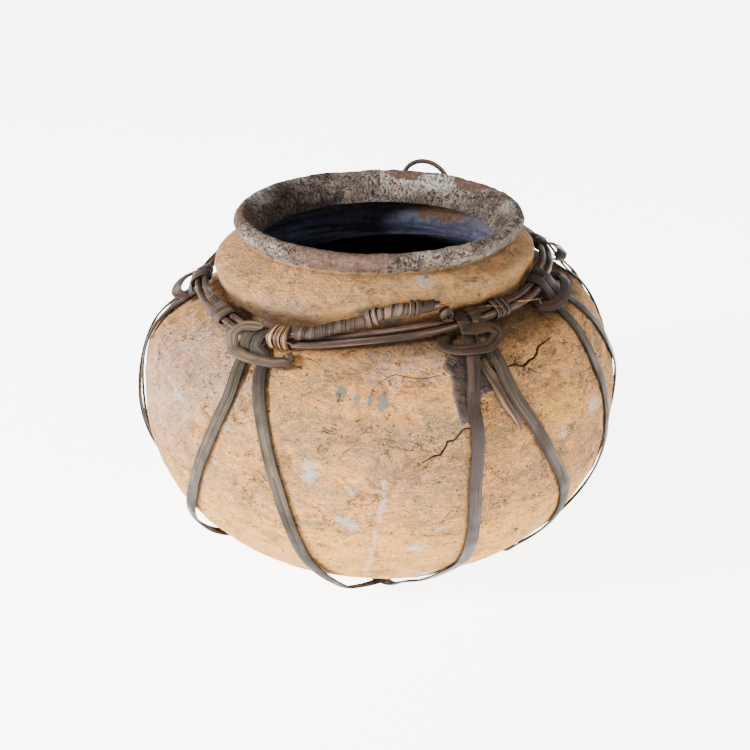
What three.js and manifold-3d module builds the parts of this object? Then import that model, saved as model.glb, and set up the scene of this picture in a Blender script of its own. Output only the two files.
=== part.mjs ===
// Round-bellied terracotta water pot, held in a lashed harness of split cane.
// Millimetres, +Z up. The origin is the centre of the foot's flat underside and the viewer stands at -Y.
// An azimuth is 0 at the viewer's side and grows towards +X.
import * as THREE from 'three';
import { mergeVertices } from 'three/addons/utils/BufferGeometryUtils.js';
import Module from 'manifold-3d';

const wasm = await Module();
wasm.setup();

// Pot: body
const bellyRadius = 165;
const bellyHeight = 113.7;
const shoulderRise = 88.5;
const shoulderPower = 3.1;
const bellyDrop = 125;
const wall = 9.5;
const footRadius = 40;
const footHeight = 6.5;
const footEdge = 2;
const bottomRounding = 3;

// Pot: neck and rolled lip
const creaseRadius = 102.8;
const bulgeRadius = 108.8;
const bulgeRise = 18.7;
const lipRollRadius = 92;
const lipRollRise = 24;
const lipTube = 6.3;
const throatRadius = 79;
const throatDrop = 15;

// Pot: how far the hand-built neck strays from true round
const creaseSlant = 0.07;
const creaseLift = 3;
const lipLift = 1.5;
const lipTilt = 0.015;
const bulgeLean = -3.5;

// Cane strips and strands
const seatGap = 0.3;
const facetAllowance = 0.2;
const strapWidth = 8.5;
const strapThickness = 1.5;
const strandWidth = 4.7;
const strandThickness = 4.2;
const strandSpacing = 5.4;
const strandSlope = 26;
const turnEase = 0.45;

// Harness: knots round the neck, and how many knots on each strap comes up again
const knotAzimuths = [-95, -37, 28, 65, 99, 136, 205];
const knotsPassed = 3;

// Hoop: distance out from the pot's crease and height above it, every 20 degrees from the viewer's side
const hoopOut = [
  14.5, 13.5, 12.6, 11, 9.5, 9, 11, 14.2, 17.2, 17.2, 16.7, 17.2, 18.2, 21.2, 17.2, 14.7, 17.2, 16.2,
];
const hoopUp = [
  -0.8, -1.8, -1.6, 4, 8.5, 9, 11.5, 14.6, 15, 15.5, 15, 13.1, 10.2, 2.6, 1.1, 0.6, -3, -3.4,
];

// Straps: azimuth of each leg from its knot, and how far it stands off, at these levels of the body
const legLevels = [0.8, 0.62, 0.41, 0.07, -0.19, -0.43, -0.59, -0.73];
const leftLegs = [
  [-3, -1, 2, 7, 9, 8, 5, 1],
  [-0.9, 1.3, 0, -4.7, -10, -17.5, -23, -27],
  [-3.8, -6.8, -7, -7.7, -7.3, -6.6, -8, -16],
  [-2.5, -3, -2, 0.5, 1.5, -0.5, -4, -8],
  [-2, -2, -1.5, -1, 0, 0, -0.5, -1],
  [-3, -5, -6.5, -8, -9, -10, -12, -14],
  [-3, -5, -7, -10, -13, -16, -18, -21],
];
const rightLegs = [
  [4, 8, 12, 14.5, 14, 12.5, 11, 10],
  [5.2, 9, 12.2, 15.2, 17.6, 19.3, 22, 26],
  [1.6, 2.6, 6.5, 13, 18.8, 22.3, 22, 20],
  [7, 10.5, 14, 19, 22, 24, 25, 26],
  [3, 6, 8, 10, 12, 14, 14, 13],
  [3, 5.5, 8, 11, 14, 16, 18, 20],
  [3, 5, 7, 10, 13, 17, 21, 25],
];
const tight = [0, 0, 0, 0, 0, 0, 0, 0];
const leftSlack = [
  [0, 0, 1.5, 4.5, 5, 4, 2, 0.5], [0, 0, 0, 0, 0.5, 3.5, 4.5, 2.5], [0, 0, 0, 0, 0, 0, 0, 1],
  tight, tight, tight, tight,
];
const rightSlack = [tight, [0, 0, 0, 0, 0, 0.5, 2, 5], tight, tight, tight, tight, tight];
const crossingGap = 0.4;
const underStep = 7.5;
const footClearance = 0.6;

// Hitch bands, a loose collar round the two legs of each knot: shift along the hoop, half-width to the
// left and to the right, reach and rise
const bands = [
  [0, 20, 20, 21, 3.2], [6.5, 20.7, 25.5, 18, 4], [-3.4, 19, 13.6, 26, 5.4], [0, 21, 21, 19, 3.2],
  [0, 18, 18, 15.5, 5], [0, 20, 20, 18, 3.6], [0, 21, 21, 18, 3.2],
];
// Where a band bends back across its knot: knot, side, reach and rise there, and how far along it ends
const bentBack = {
  knots: [1, 2], sides: [-1, 1], reach: [-1.8, 12.5], rise: [5.7, 4.4], endShare: [0.1, -0.6],
};
const bandWidth = 8;
const bandEndOffset = 13;
const loosestRise = 2.6;

// Wrapped tail of the hoop: azimuth, and distances across and up from the middle of the bundle
const tailRoute = [
  [-28, 0, 5.4], [-24, -0.3, 6.3], [-18, -1.5, 7], [-10, -4.6, 7],
  [-3, -7.4, 7.7], [4, -9.8, 11.6], [12, -8.7, 11.7], [19, -8.4, 11.8],
];
const tailCoreRadius = 2.6;
const tailTurns = 14;
const tailWrapWidth = 4.5;
const wrapThickness = 1.1;
const tieTurns = 1.7;
const tiePlaces = [0.58, 0.84];

// Wraps round the bundle of the hoop: azimuth range, turns and width of the strip
const wraps = { left: [-63, -53, 2], joint: [-31, -25.5, 2.5], right: [38.3, 44.6, 3] };
const wideWrap = 7;
const narrowWrap = 3.2;

// Cut end that hangs beside the third knot, and the rolled end above it
const cutEndRoute = [[-1.6, 0.765], [-1.4, 0.72], [0.2, 0.65], [1.5, 0.57], [2.6, 0.49], [3.3, 0.39]];
const cutEndWidth = 10;
const rolledEndTurns = 1.8;
const rolledEndRadius = 4.4;
const rolledEndWidth = 6;
const rolledEndAzimuth = 20.8;

// Pitch mend: outline across and up from its centre on the body, its depth and its place
const mendAzimuth = 21;
const mendLevel = 0.702;
const mendDepth = 4.5;
const mendOutline = [
  [-1.5, 24], [-11, 10.9], [-7.9, 4.4], [-10.6, -7.3], [-8.9, -18.3], [-8.4, -23.1], [-2.7, -22.9],
  [3.2, -15.6], [8.6, -8.6], [14.1, -8.2], [17, -4.3], [15.7, 5.8], [18, 16], [12, 22],
];

// Hanging loop at the back
const loopAzimuth = 162.5;
const loopHalfSpan = 17;
const loopHeight = 33;
const loopThickness = 3.6;
const loopEyeGap = 0.6;
const loopLean = 6;

const latheSegments = 52;
const searchDepth = 12;
const upright = new THREE.Vector3(0, 0, 1);

function vec(x, y, z) {
  return new THREE.Vector3(x, y, z);
}

function radians(degrees) {
  return THREE.MathUtils.degToRad(degrees);
}

function smooth(value) {
  return THREE.MathUtils.smoothstep(value, 0, 1);
}

function polar(azimuth, radius, height) {
  const angle = radians(azimuth);
  return vec(radius * Math.sin(angle), -radius * Math.cos(angle), height);
}

function azimuthOf(point) {
  return THREE.MathUtils.radToDeg(Math.atan2(point.x, -point.y));
}

function mix(from, to, share) {
  return from.clone().lerp(to, share);
}

// Body profile: an ellipse below the belly and a fuller curve above it, by level from -1 to 1
function bodyRadius(level, shrink = 0) {
  const power = level < 0 ? 2 : shoulderPower;
  return (bellyRadius - shrink) * (1 - Math.abs(level) ** power) ** (1 / power);
}

function bodyHeight(level, shrink = 0) {
  return bellyHeight + level * ((level < 0 ? bellyDrop : shoulderRise) - shrink);
}

function levelAtRadius(radius, power, shrink = 0) {
  return (1 - (radius / (bellyRadius - shrink)) ** power) ** (1 / power);
}

const creaseLevel = levelAtRadius(creaseRadius, shoulderPower);
const creaseHeight = bodyHeight(creaseLevel);
const bulgeHeight = creaseHeight + bulgeRise;
const lipHeight = bulgeHeight + lipRollRise;
const slantStart = bodyHeight(creaseLevel / 2);
const lowestLegLevel = legLevels.at(-1);
const undersideRadius = bodyRadius(lowestLegLevel);

// The underside: the ellipse of the belly run softly into a flat ring round the foot
function undersideHeight(radius) {
  const ellipse = bellyHeight - bellyDrop * Math.sqrt(Math.max(0, 1 - (radius / bellyRadius) ** 2));
  return (ellipse + footHeight + Math.hypot(ellipse - footHeight, bottomRounding)) / 2;
}

// Hand-built form: the crease slants, the bulge leans and the far side of the lip stands higher
function handBuilt(point) {
  const shoulder = smooth((point.z - slantStart) / (creaseHeight - slantStart));
  const neck = smooth((point.z - creaseHeight) / (lipHeight - creaseHeight));
  const bulge = Math.max(0, 1 - Math.abs(point.z - bulgeHeight) / bulgeRise);
  const slanted = shoulder * (1 - neck);
  const lift = slanted * (creaseSlant * point.x + creaseLift) + neck * (lipLift + lipTilt * point.y);
  return vec(point.x + bulgeLean * smooth(bulge), point.y, point.z + lift);
}

function bodyPoint(azimuth, level) {
  return handBuilt(polar(azimuth, bodyRadius(level), bodyHeight(level)));
}

function bodyNormal(azimuth, level) {
  const step = 0.01;
  const across = bodyPoint(azimuth + step, level).sub(bodyPoint(azimuth - step, level));
  const up = bodyPoint(azimuth, level + step).sub(bodyPoint(azimuth, level - step));
  return across.cross(up).normalize();
}

function offBody(azimuth, level, distance) {
  const normal = bodyNormal(azimuth, level);
  return { p: bodyPoint(azimuth, level).addScaledVector(normal, distance), n: normal, away: distance };
}

function offUnderside(x, y, distance) {
  const radius = Math.hypot(x, y);
  const slope = undersideHeight(radius + 0.5) - undersideHeight(radius - 0.5);
  const normal = vec(slope * x / radius, slope * y / radius, -1).normalize();
  const place = vec(x, y, undersideHeight(radius)).addScaledVector(normal, distance);
  return { p: place, n: normal, away: distance };
}

// Profile points as [radius, height]
function lowerProfile() {
  const edge = footRadius + footEdge;
  const points = [[0, 0], [footRadius, 0], [edge, footEdge], [edge, undersideHeight(footRadius)]];
  const start = footRadius + 2 * footEdge;
  const ringSteps = 6;
  for (let i = 1; i <= ringSteps; i += 1) {
    const radius = start + (undersideRadius - start) * i / ringSteps;
    points.push([radius, undersideHeight(radius)]);
  }
  const steps = 7;
  for (let i = 1; i <= steps; i += 1) {
    const level = Math.sin(Math.asin(lowestLegLevel) * (1 - i / steps));
    points.push([bodyRadius(level), bodyHeight(level)]);
  }
  return points;
}

function upperProfile(shrink, endRadius, steps) {
  const end = Math.acos((endRadius / (bellyRadius - shrink)) ** (shoulderPower / 2));
  const points = [];
  for (let i = 1; i <= steps; i += 1) {
    const level = Math.sin(end * i / steps) ** (2 / shoulderPower);
    points.push([bodyRadius(level, shrink), bodyHeight(level, shrink)]);
  }
  return points;
}

function neckProfile() {
  const points = [];
  for (const share of [0.3, 0.6, 1]) {
    const swell = Math.sin(share * Math.PI / 2) ** 0.8;
    points.push([creaseRadius + (bulgeRadius - creaseRadius) * swell, creaseHeight + bulgeRise * share]);
  }
  const rise = lipRollRise - lipTube * 1.5;
  for (const share of [0.4, 0.75, 1]) {
    const draw = Math.cos(share * Math.PI / 2);
    points.push([lipRollRadius + (bulgeRadius - lipRollRadius) * draw, bulgeHeight + rise * share]);
  }
  return points;
}

function lipProfile() {
  const points = [];
  for (const angle of [-70, -40, -10, 20, 50, 80, 105]) {
    const turn = radians(angle);
    points.push([lipRollRadius + lipTube * Math.cos(turn), lipHeight + lipTube * Math.sin(turn)]);
  }
  const crest = lipRollRadius - lipTube;
  points.push([crest + (throatRadius - crest) * 0.35, lipHeight + lipTube * 0.2]);
  points.push([throatRadius + lipTube * 0.4, lipHeight - throatDrop * 0.4]);
  points.push([throatRadius, lipHeight - throatDrop]);
  return points;
}

function innerProfile() {
  const creaseInside = creaseRadius - wall;
  const floorHeight = footHeight + wall;
  const points = [
    [bulgeRadius - wall * 1.6, bulgeHeight + wall * 0.35],
    [bulgeRadius - wall, bulgeHeight - wall * 0.4],
    [creaseInside, creaseHeight - wall * 0.3],
  ];
  points.push(...upperProfile(wall, creaseInside, 5).reverse().slice(1));
  const floorLevel = Math.min(0.95, (bellyHeight - floorHeight) / (bellyDrop - wall));
  const steps = 5;
  for (let i = 0; i <= steps; i += 1) {
    const level = -Math.sin(Math.asin(floorLevel) * i / steps);
    points.push([bodyRadius(level, wall), bodyHeight(level, wall)]);
  }
  points.push([0, floorHeight]);
  return points;
}

const outsideProfile = [...lowerProfile(), ...upperProfile(0, creaseRadius, 8), ...neckProfile()];

// Turns a profile that starts and ends on the axis into a closed body, with the hand-built form
function revolve(profile) {
  const lathe = new THREE.LatheGeometry(profile.map(([r, z]) => new THREE.Vector2(r, z)), latheSegments);
  lathe.rotateX(Math.PI / 2);
  lathe.deleteAttribute('normal');
  lathe.deleteAttribute('uv');
  const merged = mergeVertices(lathe, 1e-4);
  const position = merged.getAttribute('position');
  for (let i = 0; i < position.count; i += 1) {
    const moved = handBuilt(vec().fromBufferAttribute(position, i));
    position.setXYZ(i, moved.x, moved.y, moved.z);
  }
  return facingOut(merged);
}

// Drops triangles without area and turns a body that faces inwards
function facingOut(geometry) {
  const source = geometry.index.array;
  const position = geometry.getAttribute('position');
  const index = [];
  let volume = 0;
  for (let i = 0; i < source.length; i += 3) {
    const [a, b, c] = [source[i], source[i + 1], source[i + 2]];
    if (a === b || b === c || a === c) {
      continue;
    }
    index.push(a, b, c);
    const [pa, pb, pc] = [a, b, c].map((k) => vec().fromBufferAttribute(position, k));
    volume += pa.dot(pb.cross(pc));
  }
  geometry.setIndex(volume < 0 ? index.reverse() : index);
  return geometry;
}

// Closed body through equal rings of points, with flat ends
function loft(rings) {
  const count = rings[0].length;
  const index = [];
  for (let i = 0; i + 1 < rings.length; i += 1) {
    for (let j = 0; j < count; j += 1) {
      const a = i * count + j;
      const b = i * count + (j + 1) % count;
      index.push(a, b, b + count, a, b + count, a + count);
    }
  }
  const last = (rings.length - 1) * count;
  for (let j = 1; j + 1 < count; j += 1) {
    index.push(0, j + 1, j, last, last + j, last + j + 1);
  }
  const geometry = new THREE.BufferGeometry();
  const coordinates = rings.flat().flatMap((point) => point.toArray());
  geometry.setAttribute('position', new THREE.Float32BufferAttribute(coordinates, 3));
  geometry.setIndex(index);
  return facingOut(geometry);
}

// Split cane: flat inside and crowned outside
function caneSection(width, thickness) {
  return [
    [-width / 2, -thickness / 2], [width / 2, -thickness / 2], [width / 2, thickness * 0.2],
    [0, thickness / 2], [-width / 2, thickness * 0.2],
  ];
}

function flatSection(width, thickness) {
  const [w, t] = [width / 2, thickness / 2];
  return [[-w, -t], [w, -t], [w, t], [-w, t]];
}

function roundSection(width, thickness, sides) {
  const points = [];
  for (let i = 0; i < sides; i += 1) {
    const angle = 2 * Math.PI * (i + 0.5) / sides;
    points.push([width / 2 * Math.cos(angle), thickness / 2 * Math.sin(angle)]);
  }
  return points;
}

// Carries a section along stations of a point and an outward normal; a station's scale narrows the section
function sweep(stations, section) {
  const rings = stations.map((station, i) => {
    const before = stations[Math.max(0, i - 1)].p;
    const after = stations[Math.min(stations.length - 1, i + 1)].p;
    const along = after.clone().sub(before).normalize();
    const side = along.clone().cross(station.n).normalize();
    const out = side.clone().cross(along);
    const scale = station.scale ?? 1;
    return section.map(([w, t]) => (
      station.p.clone().addScaledVector(side, w * scale).addScaledVector(out, t)
    ));
  });
  return loft(rings);
}

// A smooth line through stations, with its normals carried along
function resample(stations, count) {
  const places = new THREE.CatmullRomCurve3(stations.map((station) => station.p), false, 'centripetal');
  const ends = stations.map((station) => station.p.clone().addScaledVector(station.n, 10));
  const tips = new THREE.CatmullRomCurve3(ends, false, 'centripetal');
  const result = [];
  for (let i = 0; i < count; i += 1) {
    const share = places.getUtoTmapping(i / (count - 1));
    const place = places.getPoint(share);
    result.push({ p: place, n: tips.getPoint(share).sub(place).normalize() });
  }
  return result;
}

// Where a point lies too near the pot's outside, the furthest that it has to move, and which way
function shortfall(radius, height, section, needed) {
  let worst = { by: 0 };
  for (let i = 0; i + 1 < section.length; i += 1) {
    const run = section[i + 1].clone().sub(section[i]);
    const place = new THREE.Vector2(radius, height);
    const share = THREE.MathUtils.clamp(place.clone().sub(section[i]).dot(run) / run.lengthSq(), 0, 1);
    const gap = place.sub(section[i].clone().addScaledVector(run, share));
    const outward = new THREE.Vector2(run.y, -run.x).normalize();
    const side = gap.dot(outward);
    const inside = side < 0 && gap.length() < searchDepth && Math.abs(side) > gap.length() * 0.99;
    const direction = inside || gap.length() < 1e-6 ? outward : gap.clone().normalize();
    const by = needed(direction) - (inside ? side : gap.length());
    if (by > worst.by && (inside || side >= 0)) {
      worst = { by, direction };
    }
  }
  return worst;
}

// Moves a point out until it has a least distance, which may depend on the direction, from the pot
function clearOfPot(point, distance) {
  const azimuth = azimuthOf(point);
  const section = outsideProfile.map(([r, z]) => {
    const shaped = handBuilt(polar(azimuth, r, z));
    return new THREE.Vector2(Math.hypot(shaped.x, shaped.y), shaped.z);
  });
  const needed = typeof distance === 'function' ? distance : () => distance;
  let [radius, height] = [Math.hypot(point.x, point.y), point.z];
  for (let i = 0; i < 12; i += 1) {
    const worst = shortfall(radius, height, section, needed);
    if (worst.by < 1e-3) {
      break;
    }
    radius += worst.by * worst.direction.x;
    height += worst.by * worst.direction.y;
  }
  return polar(azimuth, radius, height);
}

// Hoop: the centre line of its bundle of two strands, and the directions at it
const fullTurn = 360;
const hoopPitch = fullTurn / hoopOut.length;
const bundleReach = strandSpacing / 2 + strandWidth / 2;
const turnReach = bundleReach + seatGap + turnEase + strapThickness / 2;
const turnRise = strandThickness / 2 + seatGap + turnEase + strapThickness / 2;
const turnSquareness = 0.75;

// Room that the bundle and the straps round it need between its middle and the pot, by direction.
// Where the joint wrap takes in the tail, they need more under the neck's bulge.
function hoopStandOff(outward, overhead) {
  const slope = radians(strandSlope);
  const across = Math.abs(Math.cos(slope) * outward.x - Math.sin(slope) * outward.y);
  const up = Math.sin(slope) * outward.x + Math.cos(slope) * outward.y;
  const power = 1 / (1 - turnSquareness / 2);
  const reach = turnReach + strapThickness / 2;
  const rise = turnRise + strapThickness / 2 + (up < 0 ? overhead : 0);
  return ((across * reach) ** power + (Math.abs(up) * rise) ** power) ** (1 / power) + seatGap;
}

function nearness(azimuth, middle, reach) {
  const away = Math.abs((azimuth - middle + 1.5 * fullTurn) % fullTurn - fullTurn / 2);
  return smooth(1 - (away - reach) / roomRamp);
}

function tableAt(table, azimuth) {
  const place = ((azimuth / hoopPitch) % table.length + table.length) % table.length;
  const i = Math.floor(place);
  const [a, b, c, d] = [-1, 0, 1, 2].map((k) => table[(i + k + table.length) % table.length]);
  const t = place - i;
  return b + t * ((c - a) / 2 + t * (a - 2.5 * b + 2 * c - d / 2 + t * ((d - a) / 2 + 1.5 * (b - c))));
}

function nearCrease(azimuth, out, up) {
  const crease = handBuilt(polar(azimuth, creaseRadius, creaseHeight));
  return crease.add(polar(azimuth, out, up));
}

// The hanging loop's eyes need more room round the bundle than a strap does
const loopEyeRadius = Math.hypot(bundleReach, strandThickness / 2) + loopEyeGap + loopThickness / 2;
const loopReach = THREE.MathUtils.radToDeg(loopHalfSpan / creaseRadius) + 6;
const jointMiddle = (wraps.joint[0] + wraps.joint[1]) / 2;
const jointExtraRise = 2 * tailCoreRadius + 1;
const roomRamp = 8;

function hoopCentre(azimuth) {
  const place = nearCrease(azimuth, tableAt(hoopOut, azimuth), tableAt(hoopUp, azimuth));
  const eyeRoom = (loopEyeRadius + loopThickness / 2 + seatGap) * nearness(azimuth, loopAzimuth, loopReach);
  const overhead = jointExtraRise * nearness(azimuth, jointMiddle, (wraps.joint[1] - wraps.joint[0]) / 2);
  return clearOfPot(place, (outward) => Math.max(hoopStandOff(outward, overhead), eyeRoom));
}

// Axes at the hoop: along it, across its two strands outwards and down, and up off them
function hoopFrame(azimuth) {
  const centre = hoopCentre(azimuth);
  const along = hoopCentre(azimuth + 1).sub(hoopCentre(azimuth - 1)).normalize();
  const slope = radians(strandSlope);
  const wanted = polar(azimuth, Math.cos(slope), -Math.sin(slope));
  const across = wanted.addScaledVector(along, -wanted.dot(along)).normalize();
  const up = across.clone().cross(along).normalize();
  return { centre, along, across, up };
}

function atHoop(azimuth, across, up) {
  const frame = hoopFrame(azimuth);
  return frame.centre.addScaledVector(frame.across, across).addScaledVector(frame.up, up);
}

// An oval turn round the bundle: the place and outward normal at an angle from its outer side
function roundBundle(azimuth, angle, reach, rise, lift = 0, shift = 0) {
  const frame = hoopFrame(azimuth);
  const [c, s] = [Math.cos(angle), Math.sin(angle)];
  const across = Math.sign(c) * Math.abs(c) ** turnSquareness;
  const up = Math.sign(s) * Math.abs(s) ** turnSquareness;
  const place = frame.centre.clone().addScaledVector(frame.across, reach * across);
  place.addScaledVector(frame.up, lift + rise * up).addScaledVector(frame.along, shift);
  const normal = frame.across.clone().multiplyScalar(c * rise).addScaledVector(frame.up, s * reach);
  return { p: place, n: normal.normalize() };
}

// The hoop is one cane wound twice round the neck: it changes lane once, under the joint wrap
function hoopCane() {
  const half = 4;
  const start = jointMiddle + half + 0.7;
  const end = jointMiddle - half - 0.7 + 2 * fullTurn;
  const steps = 116;
  const stations = [];
  for (let i = 0; i <= steps; i += 1) {
    const turned = start + (end - start) * i / steps;
    const change = smooth((turned - (jointMiddle + fullTurn - half)) / (2 * half));
    const across = strandSpacing * (change - 0.5);
    stations.push({ p: atHoop(turned, across, 0), n: hoopFrame(turned).up });
  }
  reportSelfGap('hoop_cane', stations, strandWidth);
  return sweep(stations, roundSection(strandWidth, strandThickness, 6));
}

// Prints the least gap of a wound strip or strand to its own neighbouring turns
function reportSelfGap(name, stations, width) {
  let least = Infinity;
  for (let i = 0; i < stations.length; i += 1) {
    let walked = 0;
    for (let j = i + 1; j < stations.length; j += 1) {
      walked += stations[j].p.distanceTo(stations[j - 1].p);
      if (walked > 3 * width) {
        least = Math.min(least, stations[i].p.distanceTo(stations[j].p));
      }
    }
  }
  console.log(`${name}: least gap to itself ${(least - width).toFixed(2)} mm`);
}

// Strap end: from behind the bundle, over its top and down its outer side
function strapTurn(azimuth, side) {
  const shift = side * (strapWidth / 2 + seatGap);
  const stations = [];
  for (const angle of [285, 250, 215, 190, 165, 135, 105, 75, 50]) {
    stations.push(roundBundle(azimuth, radians(angle), turnReach, turnRise, 0, shift));
  }
  const frame = hoopFrame(azimuth);
  const leaving = frame.centre.clone().addScaledVector(frame.across, turnReach + 2.6);
  leaving.addScaledVector(frame.up, turnRise * 0.2).addScaledVector(frame.along, shift * 1.1);
  stations.push({ p: clearOfPot(leaving, strapSeat + 1), n: mix(frame.up, frame.across, 0.35).normalize() });
  return stations;
}

const strapSeat = seatGap + facetAllowance + strapThickness / 2;

// A smooth value between the entries of a list, at a place counted in entries
function between(list, place) {
  const i = Math.min(Math.floor(place), list.length - 2);
  const [b, c] = [list[i], list[i + 1]];
  const a = list[i - 1] ?? 2 * b - c;
  const d = list[i + 2] ?? 2 * c - b;
  const t = place - i;
  return b + t * ((c - a) / 2 + t * (a - 2.5 * b + 2 * c - d / 2 + t * ((d - a) / 2 + 1.5 * (b - c))));
}

function strapLeg(knot, offsets, slack) {
  const stations = [];
  const steps = 18;
  for (let i = 0; i <= steps; i += 1) {
    const place = (legLevels.length - 1) * i / steps;
    const azimuth = knotAzimuths[knot] + between(offsets, place);
    const loose = Math.max(0, between(slack, place));
    stations.push(offBody(azimuth, between(legLevels, place), strapSeat + loose));
  }
  return stations;
}

// Under the pot a strap runs straight from leg to leg, bowed only where the foot is in its way
function strapUnder(fromAzimuth, toAzimuth, fromSlack, toSlack) {
  const from = polar(fromAzimuth, undersideRadius, 0);
  const to = polar(toAzimuth, undersideRadius, 0);
  const middle = mix(from, to, 0.5);
  const nearest = footRadius + footEdge + footClearance + strapWidth / 2;
  const bow = Math.max(0, nearest - middle.length());
  const outward = middle.clone().normalize();
  const count = Math.round(from.distanceTo(to) / underStep);
  const stations = [];
  for (let i = 1; i < count; i += 1) {
    const share = i / count;
    const place = mix(from, to, share).addScaledVector(outward, bow * (1 - (2 * share - 1) ** 2) ** 1.5);
    const slack = fromSlack * Math.max(0, 1 - share * 4) + toSlack * Math.max(0, share * 4 - 3);
    stations.push(offUnderside(place.x, place.y, strapSeat + slack));
  }
  return stations;
}

// Eases the corner between two stations, where a leg runs on into its chord under the base
function easeCorner(stations, first, last) {
  const onPot = (i) => stations[i].p.clone().addScaledVector(stations[i].n, -stations[i].away);
  for (let pass = 0; pass < 8; pass += 1) {
    for (let i = first; i <= last; i += 1) {
      const place = mix(onPot(i), mix(onPot(i - 1), onPot(i + 1), 0.5), 0.5);
      stations[i] = offUnderside(place.x, place.y, stations[i].away);
    }
  }
}

// Lifts stations that would lie in a strip laid before, so that later strips cross over earlier ones
const laid = [];

function layOver(stations, width) {
  const reach = (width + strapWidth) / 2 + 2.5;
  const ramp = 9;
  for (const station of stations) {
    let lift = 0;
    for (const other of laid) {
      const gap = station.p.clone().sub(other.p);
      const height = gap.dot(other.n);
      const away = gap.addScaledVector(other.n, -height).length();
      if (away < reach + ramp && Math.abs(height) < 12) {
        const share = smooth(1 - (away - reach) / ramp);
        lift = Math.max(lift, share * (strapThickness + crossingGap - height));
      }
    }
    station.lift = lift;
  }
  for (const station of stations) {
    station.p.addScaledVector(station.n, station.lift);
  }
}

function strap(knot) {
  const other = (knot + knotsPassed) % knotAzimuths.length;
  const down = strapLeg(knot, rightLegs[knot], rightSlack[knot]);
  const up = strapLeg(other, leftLegs[other], leftSlack[other]).reverse();
  const fromAzimuth = knotAzimuths[knot] + rightLegs[knot].at(-1);
  const toAzimuth = knotAzimuths[other] + leftLegs[other].at(-1);
  const under = strapUnder(fromAzimuth, toAzimuth, rightSlack[knot].at(-1), leftSlack[other].at(-1));
  const legs = [...down, ...under, ...up];
  easeCorner(legs, down.length - 4, down.length + 4);
  easeCorner(legs, legs.length - up.length - 5, legs.length - up.length + 3);
  layOver(legs, strapWidth);
  laid.push(...legs.map((station) => ({ p: station.p.clone(), n: station.n })));
  const start = strapTurn(knotAzimuths[knot], 1);
  const end = strapTurn(knotAzimuths[other], -1).reverse();
  return sweep([...start, ...legs, ...end], caneSection(strapWidth, strapThickness));
}

// Half of a hitch band from the middle out, as rows of along, across, up and distance from the pot
function bandOverLegs(halfWidth, reach, rise) {
  const overLegs = strapSeat + strapThickness + rise;
  return [
    [0, reach, rise - loosestRise, overLegs],
    [halfWidth * 0.42, reach * 0.95, rise - loosestRise, overLegs],
    [halfWidth * 0.76, reach * 0.82, 0, overLegs - 1],
  ];
}

function bandEndUnder(halfWidth, reach) {
  const under = -(strandThickness / 2 + seatGap + strapThickness / 2 + 0.25);
  return [
    [halfWidth, reach * 0.55, -1.6, strapSeat],
    [halfWidth - 1, bundleReach + 3.2, under * 0.95, strapSeat],
    [Math.max(bandEndOffset, halfWidth - 6), bundleReach * 0.8, under, strapSeat + 0.1],
  ];
}

function bandEndBack(halfWidth, reach, i) {
  const [backReach, backRise, endShare] = [bentBack.reach[i], bentBack.rise[i], bentBack.endShare[i]];
  return [
    [halfWidth, (reach + backReach) / 2, backRise * 0.75, strapSeat],
    [halfWidth * 0.84, backReach + (reach - backReach) * 0.14, backRise, strapSeat],
    [halfWidth * 0.5, backReach, backRise, strapSeat],
    [halfWidth * (0.5 + endShare) / 2, backReach - 0.6, backRise, strapSeat],
    [halfWidth * endShare, backReach - 1, backRise, strapSeat],
  ];
}

// Hitch band: the bight of the knot, a loose collar round both legs. Each end goes in under the bundle,
// or bends back across the knot.
function hitchBand(knot) {
  const [shift, leftWidth, rightWidth, reach, rise] = bands[knot];
  const frame = hoopFrame(knotAzimuths[knot]);
  const half = (side, halfWidth) => {
    const i = bentBack.knots.indexOf(knot);
    const bends = i >= 0 && bentBack.sides[i] === side;
    const end = bends ? bandEndBack(halfWidth, reach, i) : bandEndUnder(halfWidth, reach);
    return [...bandOverLegs(halfWidth, reach, rise), ...end].map(([along, across, up, distance]) => {
      const place = frame.centre.clone().addScaledVector(frame.along, side * along + shift);
      place.addScaledVector(frame.across, across).addScaledVector(frame.up, up);
      return { p: clearOfPot(place, distance), n: frame.up };
    });
  };
  const rows = [...half(-1, leftWidth).slice(1).reverse(), ...half(1, rightWidth)];
  return sweep(resample(rows, 2 * rows.length), caneSection(bandWidth, strapThickness));
}

// A strip wound round the bundle
function bundleWrap(name, [from, to, turns], extraRise, width) {
  const reach = bundleReach + seatGap + turnEase + wrapThickness / 2;
  const rise = strandThickness / 2 + seatGap + turnEase + wrapThickness / 2 + extraRise / 2;
  const stations = [];
  const perTurn = 14;
  for (let i = 0; i <= turns * perTurn; i += 1) {
    const share = i / (turns * perTurn);
    const angle = radians(-60 + fullTurn * turns * share);
    stations.push(roundBundle(from + (to - from) * share, angle, reach, rise, extraRise / 2));
  }
  reportSelfGap(name, stations, width);
  return sweep(stations, flatSection(width, wrapThickness));
}

// The wrapped tail of the hoop
function tailCurve() {
  const least = tailCoreRadius + 2 * (seatGap + wrapThickness) + 0.6;
  const routed = tailRoute.map(([azimuth, across, up]) => clearOfPot(atHoop(azimuth, across, up), least));
  const course = new THREE.CatmullRomCurve3(routed, false, 'centripetal');
  const cleared = course.getPoints(3 * (routed.length - 1)).map((point) => clearOfPot(point, least));
  return new THREE.CatmullRomCurve3(cleared, false, 'centripetal');
}

const tail = tailCurve();

function tailFrame(share) {
  const place = tail.getPointAt(share);
  const along = tail.getTangentAt(share);
  const out = polar(azimuthOf(place), 1, 0);
  const side = along.clone().cross(out).normalize();
  return { place, along, side, out: side.clone().cross(along) };
}

function tailCore() {
  const stations = [];
  const steps = 16;
  for (let i = 0; i <= steps; i += 1) {
    const frame = tailFrame(i / steps);
    stations.push({ p: frame.place, n: frame.out });
  }
  return sweep(stations, roundSection(2 * tailCoreRadius, 2 * tailCoreRadius, 8));
}

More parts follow.
